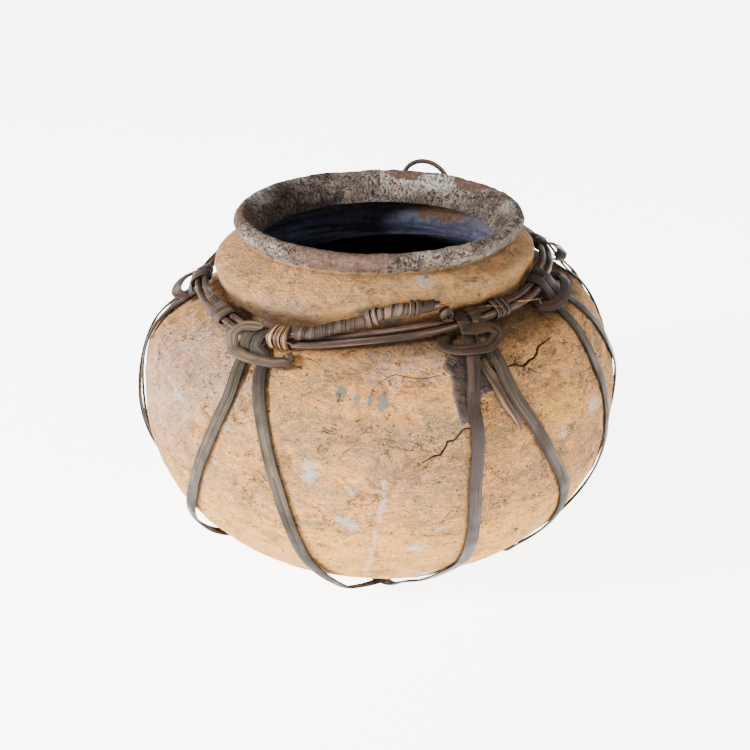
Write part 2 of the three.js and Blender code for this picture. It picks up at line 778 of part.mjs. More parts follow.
function tailWrap(name, from, to, turns, radius, width, perTurn) {
  const stations = [];
  for (let i = 0; i <= turns * perTurn; i += 1) {
    const share = i / (turns * perTurn);
    const frame = tailFrame(from + (to - from) * share);
    const angle = 2 * Math.PI * turns * share;
    const normal = frame.side.clone().multiplyScalar(Math.cos(angle));
    normal.addScaledVector(frame.out, Math.sin(angle));
    stations.push({ p: frame.place.clone().addScaledVector(normal, radius), n: normal });
  }
  reportSelfGap(name, stations, width);
  return sweep(stations, flatSection(width, wrapThickness));
}

// Cut end of a strip, lying pointed on the body below the third knot
function cutEnd() {
  const stations = cutEndRoute.map(([turn, level]) => offBody(knotAzimuths[2] + turn, level, strapSeat));
  const line = resample(stations, 13);
  laid.push(...line);
  line.forEach((station, i) => {
    const share = i / (line.length - 1);
    station.scale = share < 0.6 ? 0.55 + 0.45 * smooth(share / 0.6) : 1 - 0.9 * ((share - 0.6) / 0.4) ** 1.3;
  });
  return sweep(line, caneSection(cutEndWidth, strapThickness));
}

// End of a strip rolled up on itself above the bundle
function rolledEnd() {
  const frame = hoopFrame(rolledEndAzimuth);
  const rise = strandThickness / 2 + seatGap + rolledEndRadius + wrapThickness;
  const centre = atHoop(rolledEndAzimuth, -strandSpacing * 0.4, rise);
  const perTurn = 16;
  const steps = Math.round(rolledEndTurns * perTurn);
  const stations = [];
  for (let i = 0; i <= steps; i += 1) {
    const angle = radians(-90 - fullTurn * i / perTurn);
    const radius = rolledEndRadius - (wrapThickness + 0.6) * i / perTurn;
    const normal = frame.along.clone().multiplyScalar(Math.cos(angle));
    normal.addScaledVector(frame.up, Math.sin(angle));
    stations.push({ p: centre.clone().addScaledVector(normal, radius), n: normal });
  }
  reportSelfGap('rolled_end', stations, wrapThickness);
  return sweep(stations, flatSection(rolledEndWidth, wrapThickness));
}

// Pitch mend: a plug that fills a recess of its own outline in the wall
function offsetOutline(points, distance) {
  return points.map(([x, y], i) => {
    const [px, py] = points[(i + points.length - 1) % points.length];
    const [qx, qy] = points[(i + 1) % points.length];
    const along = new THREE.Vector2(qx - px, qy - py).normalize();
    return new THREE.Vector2(x + along.y * distance, y - along.x * distance);
  });
}

function mendPrism(outline) {
  const length = 50;
  const prism = new THREE.ExtrudeGeometry(new THREE.Shape(outline), { depth: length, bevelEnabled: false });
  const out = bodyNormal(mendAzimuth, mendLevel);
  const right = upright.clone().cross(out).normalize();
  const up = out.clone().cross(right);
  const centre = bodyPoint(mendAzimuth, mendLevel).addScaledVector(out, -length / 2);
  prism.applyMatrix4(new THREE.Matrix4().makeBasis(right, up, out).setPosition(centre));
  prism.deleteAttribute('normal');
  prism.deleteAttribute('uv');
  return toSolid(facingOut(mergeVertices(prism, 1e-4)));
}

function toSolid(geometry) {
  const vertProperties = new Float32Array(geometry.getAttribute('position').array);
  const triVerts = new Uint32Array(geometry.index.array);
  return new wasm.Manifold(new wasm.Mesh({ numProp: 3, vertProperties, triVerts }));
}

function toGeometry(solid) {
  const mesh = solid.getMesh();
  const geometry = new THREE.BufferGeometry();
  geometry.setAttribute('position', new THREE.BufferAttribute(new Float32Array(mesh.vertProperties), 3));
  geometry.setIndex(new THREE.BufferAttribute(new Uint32Array(mesh.triVerts), 1));
  return geometry;
}

// The pot as it would be without its hollow, drawn in by a depth under the mend
function solidWithin(depth) {
  const floor = [[0, bellyHeight - bellyRadius / 2]];
  const side = [];
  for (const level of [-0.2, 0.1, 0.3, 0.42, 0.52, 0.6, 0.68, 0.76, 0.83, 0.9]) {
    side.push([bodyRadius(level, depth), bodyHeight(level, depth)]);
  }
  const low = [side[0][0], floor[0][1]];
  return toSolid(revolve([...floor, low, ...side, [0, side.at(-1)[1]]]));
}

function potAndMend() {
  const whole = toSolid(revolve([...outsideProfile, ...lipProfile(), ...innerProfile()]));
  const plugOutline = mendOutline.map(([x, y]) => new THREE.Vector2(x, y));
  const recessOutline = offsetOutline(mendOutline, seatGap + 0.1);
  const recess = mendPrism(recessOutline).subtract(solidWithin(mendDepth + seatGap));
  const plug = mendPrism(plugOutline).intersect(whole).subtract(solidWithin(mendDepth));
  return { pot: toGeometry(whole.subtract(recess)), mend: toGeometry(plug) };
}

// Hanging loop: a cane bent to an arch, each foot taken once round the bundle as an open eye
const loopEyePitch = loopThickness + 0.7;

function loopFoot(side) {
  const centre = hoopCentre(loopAzimuth);
  const turn = THREE.MathUtils.radToDeg(Math.asin(loopHalfSpan / Math.hypot(centre.x, centre.y)));
  return hoopCentre(loopAzimuth + side * turn);
}

function hangingLoop() {
  const [left, right] = [loopFoot(-1), loopFoot(1)];
  const axis = right.clone().sub(left).normalize();
  const lean = polar(loopAzimuth, -Math.sin(radians(loopLean)), Math.cos(radians(loopLean)));
  const rise = lean.addScaledVector(axis, -lean.dot(axis)).normalize();
  const back = axis.clone().cross(rise);
  const eyeStation = (centre, side, share) => {
    const angle = radians(90 - fullTurn * share);
    const normal = rise.clone().multiplyScalar(Math.cos(angle)).addScaledVector(back, Math.sin(angle));
    const place = centre.clone().addScaledVector(axis, side * loopEyePitch * (0.5 - share));
    return { p: place.addScaledVector(normal, loopEyeRadius), n: normal };
  };
  const eyeSteps = 14;
  const shares = Array.from({ length: eyeSteps + 1 }, (_, i) => i / eyeSteps);
  const eye = (centre, side) => shares.map((share) => eyeStation(centre, side, share));
  const middle = mix(left, right, 0.5);
  const rootRise = 6;
  const archSteps = 14;
  const arch = [];
  for (let i = 1; i < archSteps; i += 1) {
    const turn = Math.PI * i / archSteps;
    const place = middle.clone().addScaledVector(axis, -(loopHalfSpan + loopEyePitch / 2) * Math.cos(turn));
    place.addScaledVector(rise, rootRise + (loopHeight - rootRise) * Math.sin(turn) ** 0.8);
    place.addScaledVector(back, loopEyeRadius * (1 - Math.sin(turn) ** 0.5));
    arch.push({ p: place, n: back });
  }
  const stations = [...eye(left, 1), ...arch, ...eye(right, -1).reverse()];
  reportSelfGap('hanging_loop', stations, loopThickness);
  console.log('hanging loop turns about', middle.toArray(), 'along', axis.toArray());
  return sweep(stations, roundSection(loopThickness, loopThickness, 6));
}

// Materials
const clay = { color: 0xc79c78, roughness: 0.92, metalness: 0 };
const cane = { color: 0x5c5148, roughness: 0.6, metalness: 0 };
const paleCane = { color: 0x8a6f50, roughness: 0.6, metalness: 0 };
const pitchMaterial = { color: 0x2e2a28, roughness: 0.75, metalness: 0 };

const object = new THREE.Group();

function add(name, geometry, finish) {
  geometry.computeVertexNormals();
  const mesh = new THREE.Mesh(geometry, new THREE.MeshStandardMaterial(finish));
  mesh.name = name;
  object.add(mesh);
}

// The cut end is laid first, because the straps of the third knot cross over it
const cutEndGeometry = cutEnd();
const { pot, mend } = potAndMend();
add('clay_pot', pot, clay);
add('pitch_mend', mend, pitchMaterial);
add('hoop_cane', hoopCane(), cane);
knotAzimuths.forEach((azimuth, knot) => {
  const other = (knot + knotsPassed) % knotAzimuths.length;
  add(`strap_${knot + 1}_${other + 1}`, strap(knot), cane);
});
knotAzimuths.forEach((azimuth, knot) => add(`hitch_band_${knot + 1}`, hitchBand(knot), cane));
add('wrap_left', bundleWrap('wrap_left', wraps.left, 0, wideWrap), cane);
add('wrap_joint', bundleWrap('wrap_joint', wraps.joint, jointExtraRise, narrowWrap), paleCane);
add('wrap_right', bundleWrap('wrap_right', wraps.right, 0, narrowWrap), cane);
add('tail_core', tailCore(), cane);
const wrapRadius = tailCoreRadius + seatGap + wrapThickness / 2;
add('tail_wrap', tailWrap('tail_wrap', 0.12, 0.97, tailTurns, wrapRadius, tailWrapWidth, 12), cane);
tiePlaces.forEach((place, i) => {
  const radius = wrapRadius + wrapThickness + seatGap;
  const half = 0.035;
  const name = `tail_tie_${i + 1}`;
  add(name, tailWrap(name, place - half, place + half, tieTurns, radius, 3, 16), cane);
});
add('rolled_end', rolledEnd(), cane);
add('cut_end', cutEndGeometry, paleCane);
add('hanging_loop', hangingLoop(), cane);

export default object;
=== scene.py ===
import math
import random

import bpy
import numpy as np
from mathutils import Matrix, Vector, noise
from mathutils.bvhtree import BVHTree


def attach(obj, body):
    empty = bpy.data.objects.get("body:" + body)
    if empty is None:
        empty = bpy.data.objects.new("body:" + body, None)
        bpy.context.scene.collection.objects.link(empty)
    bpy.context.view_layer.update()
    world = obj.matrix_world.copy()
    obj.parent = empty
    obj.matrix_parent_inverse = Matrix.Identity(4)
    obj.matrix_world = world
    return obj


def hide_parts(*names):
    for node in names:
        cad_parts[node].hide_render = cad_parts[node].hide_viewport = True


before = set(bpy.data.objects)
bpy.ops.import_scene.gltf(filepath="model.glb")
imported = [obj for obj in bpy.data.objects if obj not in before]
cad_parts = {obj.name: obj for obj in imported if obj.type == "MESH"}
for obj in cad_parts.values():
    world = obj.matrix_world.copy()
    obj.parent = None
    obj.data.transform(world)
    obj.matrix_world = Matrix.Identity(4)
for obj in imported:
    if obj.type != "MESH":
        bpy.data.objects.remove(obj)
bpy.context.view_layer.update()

# Camera: it looks down on the pot from 0.83 m away, at the photograph's angle. Its distance, lens and
# shift come from the pot's outline in the photograph.
lens_mm, sensor_mm, frame_shift = 55.65, 36, -0.0055
camera_distance, camera_elevation, aim_height = 0.8308, math.radians(24.73), 0.1204

bpy.ops.object.camera_add(
    location=(0, -camera_distance * math.cos(camera_elevation),
              aim_height + camera_distance * math.sin(camera_elevation)),
    rotation=(math.pi / 2 - camera_elevation, 0, 0))
camera = bpy.context.object
camera.data.lens = lens_mm
camera.data.sensor_width = sensor_mm
camera.data.shift_x = frame_shift
bpy.context.scene.camera = camera

# Studio: a soft light from the upper left, a broad weak one from the right and a pale room that glows
# most at the horizon, over a plain pale floor.
def from_hex(code):
    """An sRGB hex colour as linear red, green, blue and alpha."""
    channels = [int(code[k:k + 2], 16) / 255 for k in (1, 3, 5)]
    return [c / 12.92 if c <= 0.04045 else ((c + 0.055) / 1.055) ** 2.4 for c in channels] + [1]


def add_node(tree, kind, inputs=None, ramp=None, **settings):
    """Adds a node, sets it, fills or links its inputs, and gives a colour ramp its stops."""
    made = tree.nodes.new("ShaderNode" + kind)
    for key, value in settings.items():
        setattr(made, key, value)
    for key, value in (inputs or {}).items():
        if isinstance(value, bpy.types.NodeSocket):
            tree.links.new(value, made.inputs[key])
        else:
            made.inputs[key].default_value = value
    for k, (place, colour) in enumerate(ramp or []):
        stop = made.color_ramp.elements[k] if k < 2 else made.color_ramp.elements.new(place)
        stop.position = place
        stop.color = from_hex(colour)
    return made


def add_soft_light(name, place, size, power):
    bpy.ops.object.light_add(type="AREA", location=place)
    light = bpy.context.object
    light.name = name
    light.data.size = size
    light.data.energy = power
    pot_middle = Vector((0, 0, 0.12))
    light.rotation_euler = (pot_middle - Vector(place)).to_track_quat("-Z", "Y").to_euler()


add_soft_light("key_light", (-1.75, -0.95, 1.0), 0.4, 165)
add_soft_light("fill_light", (1.5, -1.4, 0.9), 1.4, 14)
horizon_glow, room_glow, glow_reach = 5.4, 0.35, 0.3
room = bpy.data.worlds.new("pale_room")
room.use_nodes = True
air = room.node_tree
direction = add_node(air, "TexCoord").outputs["Generated"]
height_share = add_node(air, "SeparateXYZ", {0: direction}).outputs["Z"]
glow = add_node(air, "MapRange", {0: height_share, 1: 0, 2: glow_reach, 3: horizon_glow, 4: room_glow},
                interpolation_type="SMOOTHSTEP")
air.links.new(glow.outputs[0], air.nodes["Background"].inputs["Strength"])
air.nodes["Background"].inputs["Color"].default_value = from_hex("#ffffff")
bpy.context.scene.world = room


# Clay pot: low-fired terracotta, coiled and beaten by hand, so that it is never quite round. The
# belly is an ellipse below its widest ring and fuller above it. Millimetres, as measured.
MM = 0.001
belly_radius, belly_height = 165, 113.7
shoulder_rise, shoulder_power, belly_drop = 88.5, 3.1, 125
wall = 9.5
foot_radius, foot_height, foot_edge = 40, 6.5, 2
bottom_rounding = 3
crease_radius, bulge_radius, bulge_rise = 102.8, 108.8, 18.7
lip_roll_radius, lip_roll_rise, lip_tube = 92, 24, 6.3
throat_radius, throat_drop = 79, 15
crease_slope, crease_lift, lip_slope, lip_lift, bulge_shift = 0.07, 3, 0.015, 1.5, -3.5


def smooth(value):
    value = min(1, max(0, value))
    return value * value * (3 - 2 * value)


def polar(azimuth, radius, height):
    angle = math.radians(azimuth)
    return Vector((radius * math.sin(angle), -radius * math.cos(angle), height))


def azimuth_of(point):
    return math.degrees(math.atan2(point.x, -point.y))


def body_radius(level, shrink=0):
    power = 2 if level < 0 else shoulder_power
    return (belly_radius - shrink) * max(0, 1 - abs(level) ** power) ** (1 / power)


def body_height(level, shrink=0):
    return belly_height + level * ((belly_drop if level < 0 else shoulder_rise) - shrink)


crease_level = (1 - (crease_radius / belly_radius) ** shoulder_power) ** (1 / shoulder_power)
crease_height = body_height(crease_level)
bulge_height = crease_height + bulge_rise
lip_height = bulge_height + lip_roll_rise
slant_start = body_height(crease_level / 2)


def hand_built(point):
    """The crease slants up to the right, the bulge leans left and the far side of the lip is higher."""
    shoulder = smooth((point.z - slant_start) / (crease_height - slant_start))
    neck = smooth((point.z - crease_height) / (lip_height - crease_height))
    bulge = max(0, 1 - abs(point.z - bulge_height) / bulge_rise)
    lift = shoulder * (1 - neck) * (crease_slope * point.x + crease_lift)
    lift += neck * (lip_lift + lip_slope * point.y)
    return Vector((point.x + bulge_shift * smooth(bulge), point.y, point.z + lift))


def body_point(azimuth, level):
    return hand_built(polar(azimuth, body_radius(level), body_height(level)))


def body_normal(azimuth, level):
    across = body_point(azimuth + 0.01, level) - body_point(azimuth - 0.01, level)
    up = body_point(azimuth, level + 0.005) - body_point(azimuth, level - 0.005)
    return across.cross(up).normalized()


def off_body(azimuth, level, distance):
    normal = body_normal(azimuth, level)
    return body_point(azimuth, level) + normal * distance, normal


def underside_height(radius):
    ellipse = belly_height - belly_drop * math.sqrt(max(0, 1 - (radius / belly_radius) ** 2))
    return (ellipse + foot_height + math.hypot(ellipse - foot_height, bottom_rounding)) / 2


def steps(count, first=0):
    return [i / count for i in range(first, count + 1)]


def pot_profile():
    """Rings of (radius, height) from the foot's middle up the outside, over the lip and down inside to the
    floor, and how many of them are outside. The underside's rings are even in radius up to one level."""
    underside_level, deepest_level = 0.73, 0.95
    edge = foot_radius + foot_edge
    rings = [(radius, 0) for radius in (0, 10, 20, 30, 37, foot_radius - 0.6)]
    rings += [(foot_radius + 0.6, 0.5), (edge, foot_edge), (edge + 0.6, underside_height(edge) - 1)]
    start, end = edge + 2, body_radius(-underside_level)
    radii = [start + (end - start) * s for s in steps(20)]
    rings += [(radius, underside_height(radius)) for radius in radii]
    levels = [-math.sin(math.asin(underside_level) * (1 - s)) for s in steps(38, 1)]
    rings += [(body_radius(level), body_height(level)) for level in levels]
    last = math.acos((crease_radius / belly_radius) ** (shoulder_power / 2))
    levels = [math.sin(last * s) ** (2 / shoulder_power) for s in steps(58, 1)]
    rings += [(body_radius(level), body_height(level)) for level in levels]
    for s in steps(9, 1):
        rings.append((crease_radius + (bulge_radius - crease_radius) * math.sin(s * math.pi / 2) ** 0.8,
                      crease_height + bulge_rise * s))
    rise = lip_roll_rise - lip_tube * 1.5
    for s in steps(8, 1):
        rings.append((lip_roll_radius + (bulge_radius - lip_roll_radius) * math.cos(s * math.pi / 2),
                      bulge_height + rise * s))
    for angle in range(-66, 106, 14):
        turn = math.radians(angle)
        rings.append((lip_roll_radius + lip_tube * math.cos(turn), lip_height + lip_tube * math.sin(turn)))
    outside = len(rings)
    crest, low = lip_roll_radius - lip_tube, lip_height - throat_drop
    for s in steps(10, 1):
        outwards = (1 + math.cos(math.radians(105 + 75 * s))) / (1 + math.cos(math.radians(105)))
        rings.append((throat_radius + (crest - throat_radius + 5) * outwards,
                      low + (lip_height + lip_tube - low) * (1 - s) ** 0.9 - 0.4 * s))
    inner = crease_radius - wall
    rings.append((bulge_radius - wall * 1.6, bulge_height + wall * 0.35))
    rings.append((bulge_radius - wall, bulge_height - wall * 0.4))
    rings.append((inner, crease_height - wall * 0.3))
    last = math.acos((inner / (belly_radius - wall)) ** (shoulder_power / 2))
    levels = [math.sin(last * s) ** (2 / shoulder_power) for s in steps(8)][-2::-1]
    rings += [(body_radius(level, wall), body_height(level, wall)) for level in levels]
    floor = foot_height + wall
    depth = min(deepest_level, (belly_height - floor) / (belly_drop - wall))
    levels = [-math.sin(math.asin(depth) * s) for s in steps(8, 1)]
    rings += [(body_radius(level, wall), body_height(level, wall)) for level in levels]
    rings += [(30, floor), (0, floor)]
    return rings, outside


def deselect_all():
    bpy.ops.object.select_all(action="DESELECT")


def bent_grid(name, columns, rows, place):
    """A flat grid primitive whose corners are moved to place(column, row), in millimetres."""
    deselect_all()
    bpy.ops.mesh.primitive_grid_add(x_subdivisions=columns, y_subdivisions=rows, size=2)
    made = bpy.context.object
    made.name = name
    for vertex in made.data.vertices:
        column = round((vertex.co.x + 1) / 2 * columns)
        row = round((vertex.co.y + 1) / 2 * rows)
        vertex.co = place(column, row) * MM
    return made


def pick(made):
    """Selects one piece alone, since an operator acts on all that is selected."""
    deselect_all()
    bpy.context.view_layer.objects.active = made
    made.select_set(True)


def close_seams(made, turn_out=True):
    """Merges corners that lie on each other, and turns all faces outwards."""
    pick(made)
    bpy.ops.object.mode_set(mode="EDIT")
    bpy.ops.mesh.select_all(action="SELECT")
    bpy.ops.mesh.remove_doubles(threshold=1e-6)
    if turn_out:
        bpy.ops.mesh.normals_make_consistent(inside=False)
    bpy.ops.object.mode_set(mode="OBJECT")


def keep_at_corners(made, name, values):
    """Keeps a value from 0 to 1 at each corner of a piece, for its material to read."""
    kept = made.data.attributes.new(name, "FLOAT", "POINT")
    kept.data.foreach_set("value", np.clip(np.asarray(values, "f"), 0, 1))


rings, outside_rings = pot_profile()
pot_columns = 360
pot = bent_grid("pot", pot_columns, len(rings) - 1,
                lambda i, j: hand_built(polar(180 - 360 * i / pot_columns, *rings[j])))
keep_at_corners(pot, "outside", np.repeat(np.arange(len(rings)) < outside_rings, pot_columns + 1))
close_seams(pot)

# Cracks of the clay: each is a line of (azimuth, height) on the outside, with a half-width and a depth
# in millimetres. The mesh is cut finer along them, so that they are real grooves. Those in front are first.
front_cracks = 5
cracks = [
    ([(19.9, 155.4), (17.8, 155.1), (16.7, 151.5), (15.7, 149.7), (14.5, 149.3), (14.0, 146.2), (12.8, 142.3),
      (11.5, 141.6), (10.4, 140.3), (8.9, 138.3)], 0.75, 1.6),
    ([(16.8, 179.0), (14.3, 179.2), (11.9, 178.8), (8.8, 179.3), (6.5, 180.4), (4.2, 181.5), (2.5, 180.9),
      (0.4, 179.3)], 0.45, 0.8),
    ([(30.3, 177.2), (31.3, 176.7), (33.2, 177.0), (34.9, 177.1), (36.5, 175.8), (37.1, 175.4), (39.1, 176.4),
      (41.4, 176.8), (43.0, 177.9), (43.6, 178.9), (45.3, 179.6), (48.5, 179.9), (50.1, 180.1)], 0.85, 1.7),
    ([(50.4, 179.8), (52.8, 176.7), (57.3, 174.3), (58.2, 172.2), (61.9, 170.5)], 0.35, 0.6),
    ([(37.9, 174.8), (40.7, 170.6)], 0.4, 0.5),
    ([(-78, 172), (-82, 160), (-80, 148), (-85, 133)], 0.5, 0.8),
    ([(150, 180), (146, 168), (149, 155), (143, 141)], 0.6, 1.0),
    ([(-140, 176), (-133, 168), (-131, 154)], 0.5, 0.8),
]
outside_radii = sorted((height, radius) for radius, height in rings[40:outside_rings - 12])


def outside_radius(height):
    return float(np.interp(height, [h for h, r in outside_radii], [r for h, r in outside_radii]))


def crack_line(points):
    """The crack on the surface, broken every few millimetres by a small jump to either side."""
    line = []
    for (azimuth, height), (next_azimuth, next_height) in zip(points, points[1:]):
        for s in (0, 0.34, 0.67):
            a = azimuth + (next_azimuth - azimuth) * s
            h = height + (next_height - height) * s
            jump = noise.noise(Vector((a * 5.7, h * 3.9, 3.1)))
            lift = noise.noise(Vector((h * 4, a * 5, 7.7)))
            line.append(polar(a + 0.3 * jump, outside_radius(h), h + 0.7 * lift))
    line.append(polar(points[-1][0], outside_radius(points[-1][1]), points[-1][1]))
    return np.array([hand_built(point) for point in line])


crack_lines = [crack_line(points) for points, _, _ in cracks]


def distance_to_line(places, line):
    """The distance of each place from the line, and how far along the line it is, from 0 to 1."""
    nearest = np.full(len(places), 1e9)
    share = np.zeros(len(places))
    for k, (start, end) in enumerate(zip(line, line[1:])):
        run = end - start
        s = np.clip((places - start) @ run / (run @ run), 0, 1)
        gap = np.linalg.norm(places - start - s[:, None] * run, axis=1)
        closer = gap < nearest
        nearest[closer] = gap[closer]
        share[closer] = (k + s[closer]) / (len(line) - 1)
    return nearest, share


def read_vectors(items, field):
    flat = np.empty(len(items) * 3, "f")
    items.foreach_get(field, flat)
    return flat.reshape(-1, 3)


finer_within = ((4, crack_lines), (2, crack_lines), (1.2, crack_lines), (0.75, crack_lines[:front_cracks]))
for reach, lines in finer_within:
    middles = read_vectors(pot.data.polygons, "center") / MM
    near = np.min([distance_to_line(middles, line)[0] for line in lines], axis=0) < reach
    pick(pot)
    bpy.ops.object.mode_set(mode="EDIT")
    bpy.ops.mesh.select_all(action="DESELECT")
    bpy.ops.object.mode_set(mode="OBJECT")
    pot.data.polygons.foreach_set("select", near)
    bpy.ops.object.mode_set(mode="EDIT")
    bpy.ops.mesh.subdivide(number_cuts=1)
    bpy.ops.object.mode_set(mode="OBJECT")

# Surface of the clay: slow lumps from the beater about 46 mm across, ripples of 11 mm, flaked patches of
# 17 mm with low edges, gouges, the cracks and the lip's uneven roll. It only ever lies below the smooth
# form, so the harness stays clear of it.
places = read_vectors(pot.data.vertices, "co") / MM
outside = np.empty(len(places), "f")
pot.data.attributes["outside"].data.foreach_get("value", outside)
azimuths = np.degrees(np.arctan2(places[:, 0], -places[:, 1]))
heights = places[:, 2]


def step_between(low, high, value):
    s = np.clip((value - low) / (high - low), 0, 1)
    return s * s * (3 - 2 * s)


def noise_at(scale, seed, octaves=3, stretch=(1, 1, 1)):
    """Fractal noise at every corner of the pot, with features of about scale millimetres."""
    shift = Vector((seed * 13.7, seed * 5.1, seed * 9.3))
    scaled = places / (np.array(stretch) * scale)
    return np.array([noise.fractal(Vector(p) + shift, 0.9, 2.0, octaves) for p in scaled], "f")


lumps = noise_at(46, 1)
ripples = noise_at(11, 2, 3, (1.6, 1.6, 0.7))
flakes = step_between(0.02, 0.12, noise_at(17, 3, 4, (1.3, 1.3, 0.8)))
lump_depth, ripple_depth, flake_depth, inner_depth, lip_depth = 0.62, 0.42, 0.4, 0.25, 0.34
relief = lump_depth * (lumps - 0.7) + ripple_depth * (ripples - 0.5) - flake_depth * flakes

# Gouges by azimuth, height, length, width, turn and depth: nine that stand out, and more at random.
random.seed(8)
scattered_gouges = 260
gouge_marks = [(-20.6, 148.9, 3, 1.6, 0, 1.6), (-10.3, 141.7, 17, 2.6, 35, 0.9), (0.2, 140, 14, 3, -25, 1.0),
               (3.3, 134.1, 10, 2, 20, 0.7), (-19.7, 180.7, 15, 2, 28, 0.6), (-25.9, 168.7, 12, 2, -30, 0.6),
               (9, 160.9, 12, 3, 15, 0.8), (-18.9, 186, 14, 1.8, 20, 0.6), (-6.4, 163.9, 20, 3, -12, 0.7)]
for _ in range(scattered_gouges):
    height = random.uniform(30, 192)
    gouge_marks.append((random.uniform(-180, 180), height, random.uniform(4, 20), random.uniform(1.4, 3.4),
                        random.gauss(15, 35), random.uniform(0.3, 1.1)))
for azimuth, height, length, width, turn, depth in gouge_marks:
    across = np.radians(azimuths - azimuth) * outside_radius(height)
    up = heights - height
    c, s = math.cos(math.radians(turn)), math.sin(math.radians(turn))
    along, aside = across * c + up * s, up * c - across * s
    relief -= depth * np.exp(-(along / length * 2.2) ** 2 - (aside / width * 1.6) ** 2) * (outside > 0.5)

in_crack = np.zeros(len(places), "f")
for (points, width, depth), line in zip(cracks, crack_lines):
    gap, share = distance_to_line(places, line)
    narrow = width * (0.35 + 0.65 * np.sin(np.pi * np.clip(share, 0.04, 0.96)) ** 0.6)
    groove = np.clip(1 - gap / narrow, 0, 1) ** 0.7 * (outside > 0.5)
    relief -= depth * groove
    in_crack = np.maximum(in_crack, groove)

on_lip = step_between(228, 233, heights)
wavy = noise_at(5.5, 6, 2, (1, 1, 0.8))
relief = np.where(outside > 0.5, relief, inner_depth * (lumps - 0.8))
relief += on_lip * (lip_depth * (wavy - 0.9))
relief = np.clip(relief, -3, -0.02)
flat_foot = (outside > 0.5) & (heights < 1)
relief[flat_foot] = 0
places += read_vectors(pot.data.vertices, "normal") * relief[:, None]
pot.data.vertices.foreach_set("co", (places * MM).astype("f").ravel())


def blot(azimuth, height, half_width, half_height):
    """A soft-edged patch, 1 in its middle. Its half-width is in millimetres on a round of 160 mm."""
    across = np.radians(azimuths - azimuth) * 160 / half_width
    return np.exp(-(across ** 2 + ((heights - height) / half_height) ** 2))


# Where the clay's finishes lie. A patch has a strength, an azimuth, a height, a half-width and a half-height.
finish_blots = {
    "rubbed": [(1, -14, 240, 62, 13), (1, -84, 244, 38, 16), (1, 168, 248, 34, 8), (1, 132, 247, 40, 9)],
    "crackled": [(1, 45, 240, 60, 22), (0.4, -50, 240, 30, 12)],
    "brown_inside_patch": [(0.9, 150, 222, 60, 16)],
    "ashy": [(1, 175, 244, 120, 14), (0.6, -110, 244, 50, 10)],
    "film": [(0.9, -48, 172, 52, 26), (0.7, -66, 138, 60, 42), (0.6, -25, 206, 60, 12),
             (0.5, 10, 186, 60, 12)],
    "greyed": [(1, -2, 150, 75, 17), (1, 10, 126, 34, 15), (0.8, 38, 118, 24, 14)],
    "fleck": [(1, -9, 175.5, 3.4, 3.6), (1, -4.9, 172.7, 2.7, 5.5), (1, -2.3, 171.7, 1.7, 5.5),
              (1, 0.9, 171.5, 4.4, 5.2), (1, 4, 206, 14, 7), (1, -2, 212, 20, 3)],
}
for name, blots in finish_blots.items():
    keep_at_corners(pot, name, sum(strength * blot(*spot) for strength, *spot in blots))
# Spots of pale lime, painted shade in the pits, in the cracks and under the bulge, and a pale drip that ran
# down the front.
pale_spots = [(-14.7, 134, 3, 5), (-14.2, 127, 3.5, 3), (-7.4, 99.6, 5, 2.5), (-5.8, 94, 3.5, 3),
              (8.5, 75, 4, 4), (-5.6, 120, 2, 2), (-9.5, 116, 3, 1.5), (14.5, 36, 9, 5), (13.2, 91, 4, 2),
              (56.9, 140, 7, 5), (44.4, 136, 3, 3), (16.6, 226, 8, 3), (-38, 120, 3, 2), (-52, 152, 4, 3),
              (120, 150, 9, 6), (-150, 130, 8, 7), (165, 96, 5, 12)]
pale = sum(blot(azimuth, height, 1.4 * across, 1.4 * up) for azimuth, height, across, up in pale_spots)
keep_at_corners(pot, "pale", pale * 0.9 + 0.4 * blot(-66, 150, 30, 30))
pits = [(-6.2, 109), (-8.3, 96), (1.9, 143), (0.2, 151), (7.3, 162), (6.2, 164), (-19, 137.6), (-17.2, 116),
        (33, 150), (-20.5, 149.3)]
pitted = sum(blot(azimuth, height, 1.5, 1.3) for azimuth, height in pits)
under_bulge = step_between(12, 2, np.abs(heights - crease_height - 2)) * (outside > 0.5)
keep_at_corners(pot, "shade", np.maximum(under_bulge, in_crack) + pitted)
keep_at_corners(pot, "crack", in_crack)
ochre = 0.95 * step_between(125, 55, heights) + 0.8 * blot(5, 208, 90, 12) + 0.6 * blot(45, 150, 40, 30)
keep_at_corners(pot, "ochre", ochre)
keep_at_corners(pot, "neck", (outside > 0.5) * step_between(194, 206, heights))
below_throat = (outside < 0.5) * step_between(232, 214, heights)
lip_inside = (outside < 0.5) * step_between(200, 212, heights)
keep_at_corners(pot, "lip", np.maximum(on_lip, lip_inside) * (1 - 0.85 * below_throat))
keep_at_corners(pot, "inside", below_throat)
keep_at_corners(pot, "upper_inside", 0.85 * (outside < 0.5) * step_between(204, 216, heights))
keep_at_corners(pot, "darker_inner_flare", (outside < 0.5) * step_between(243, 232, heights))
drip = crack_line([(1.1, 126), (0.8, 115), (0.4, 104), (-0.7, 92), (-1.2, 77), (-2.5, 58), (-4, 42)])
from_drip, down_drip = distance_to_line(places, drip)
drip_half_width = 2 + 1.4 * np.abs(down_drip - 0.45)
keep_at_corners(pot, "drip", np.exp(-(from_drip / drip_half_width) ** 4))

# The fired clay is dry, dull and rough: buff to peach, ochre low down, a pinkish film at the upper left,
# painted brown shade in the cracks, pits and neck's crease, a sooty crackled lip and a blue-black painted
# shade inside.
def new_material(name, roughness, specular=0.35):
    material = bpy.data.materials.new(name)
    material.use_nodes = True
    shader = material.node_tree.nodes["Principled BSDF"]
    shader.inputs["Roughness"].default_value = roughness
    shader.inputs["Specular IOR Level"].default_value = specular
    return material, material.node_tree, shader


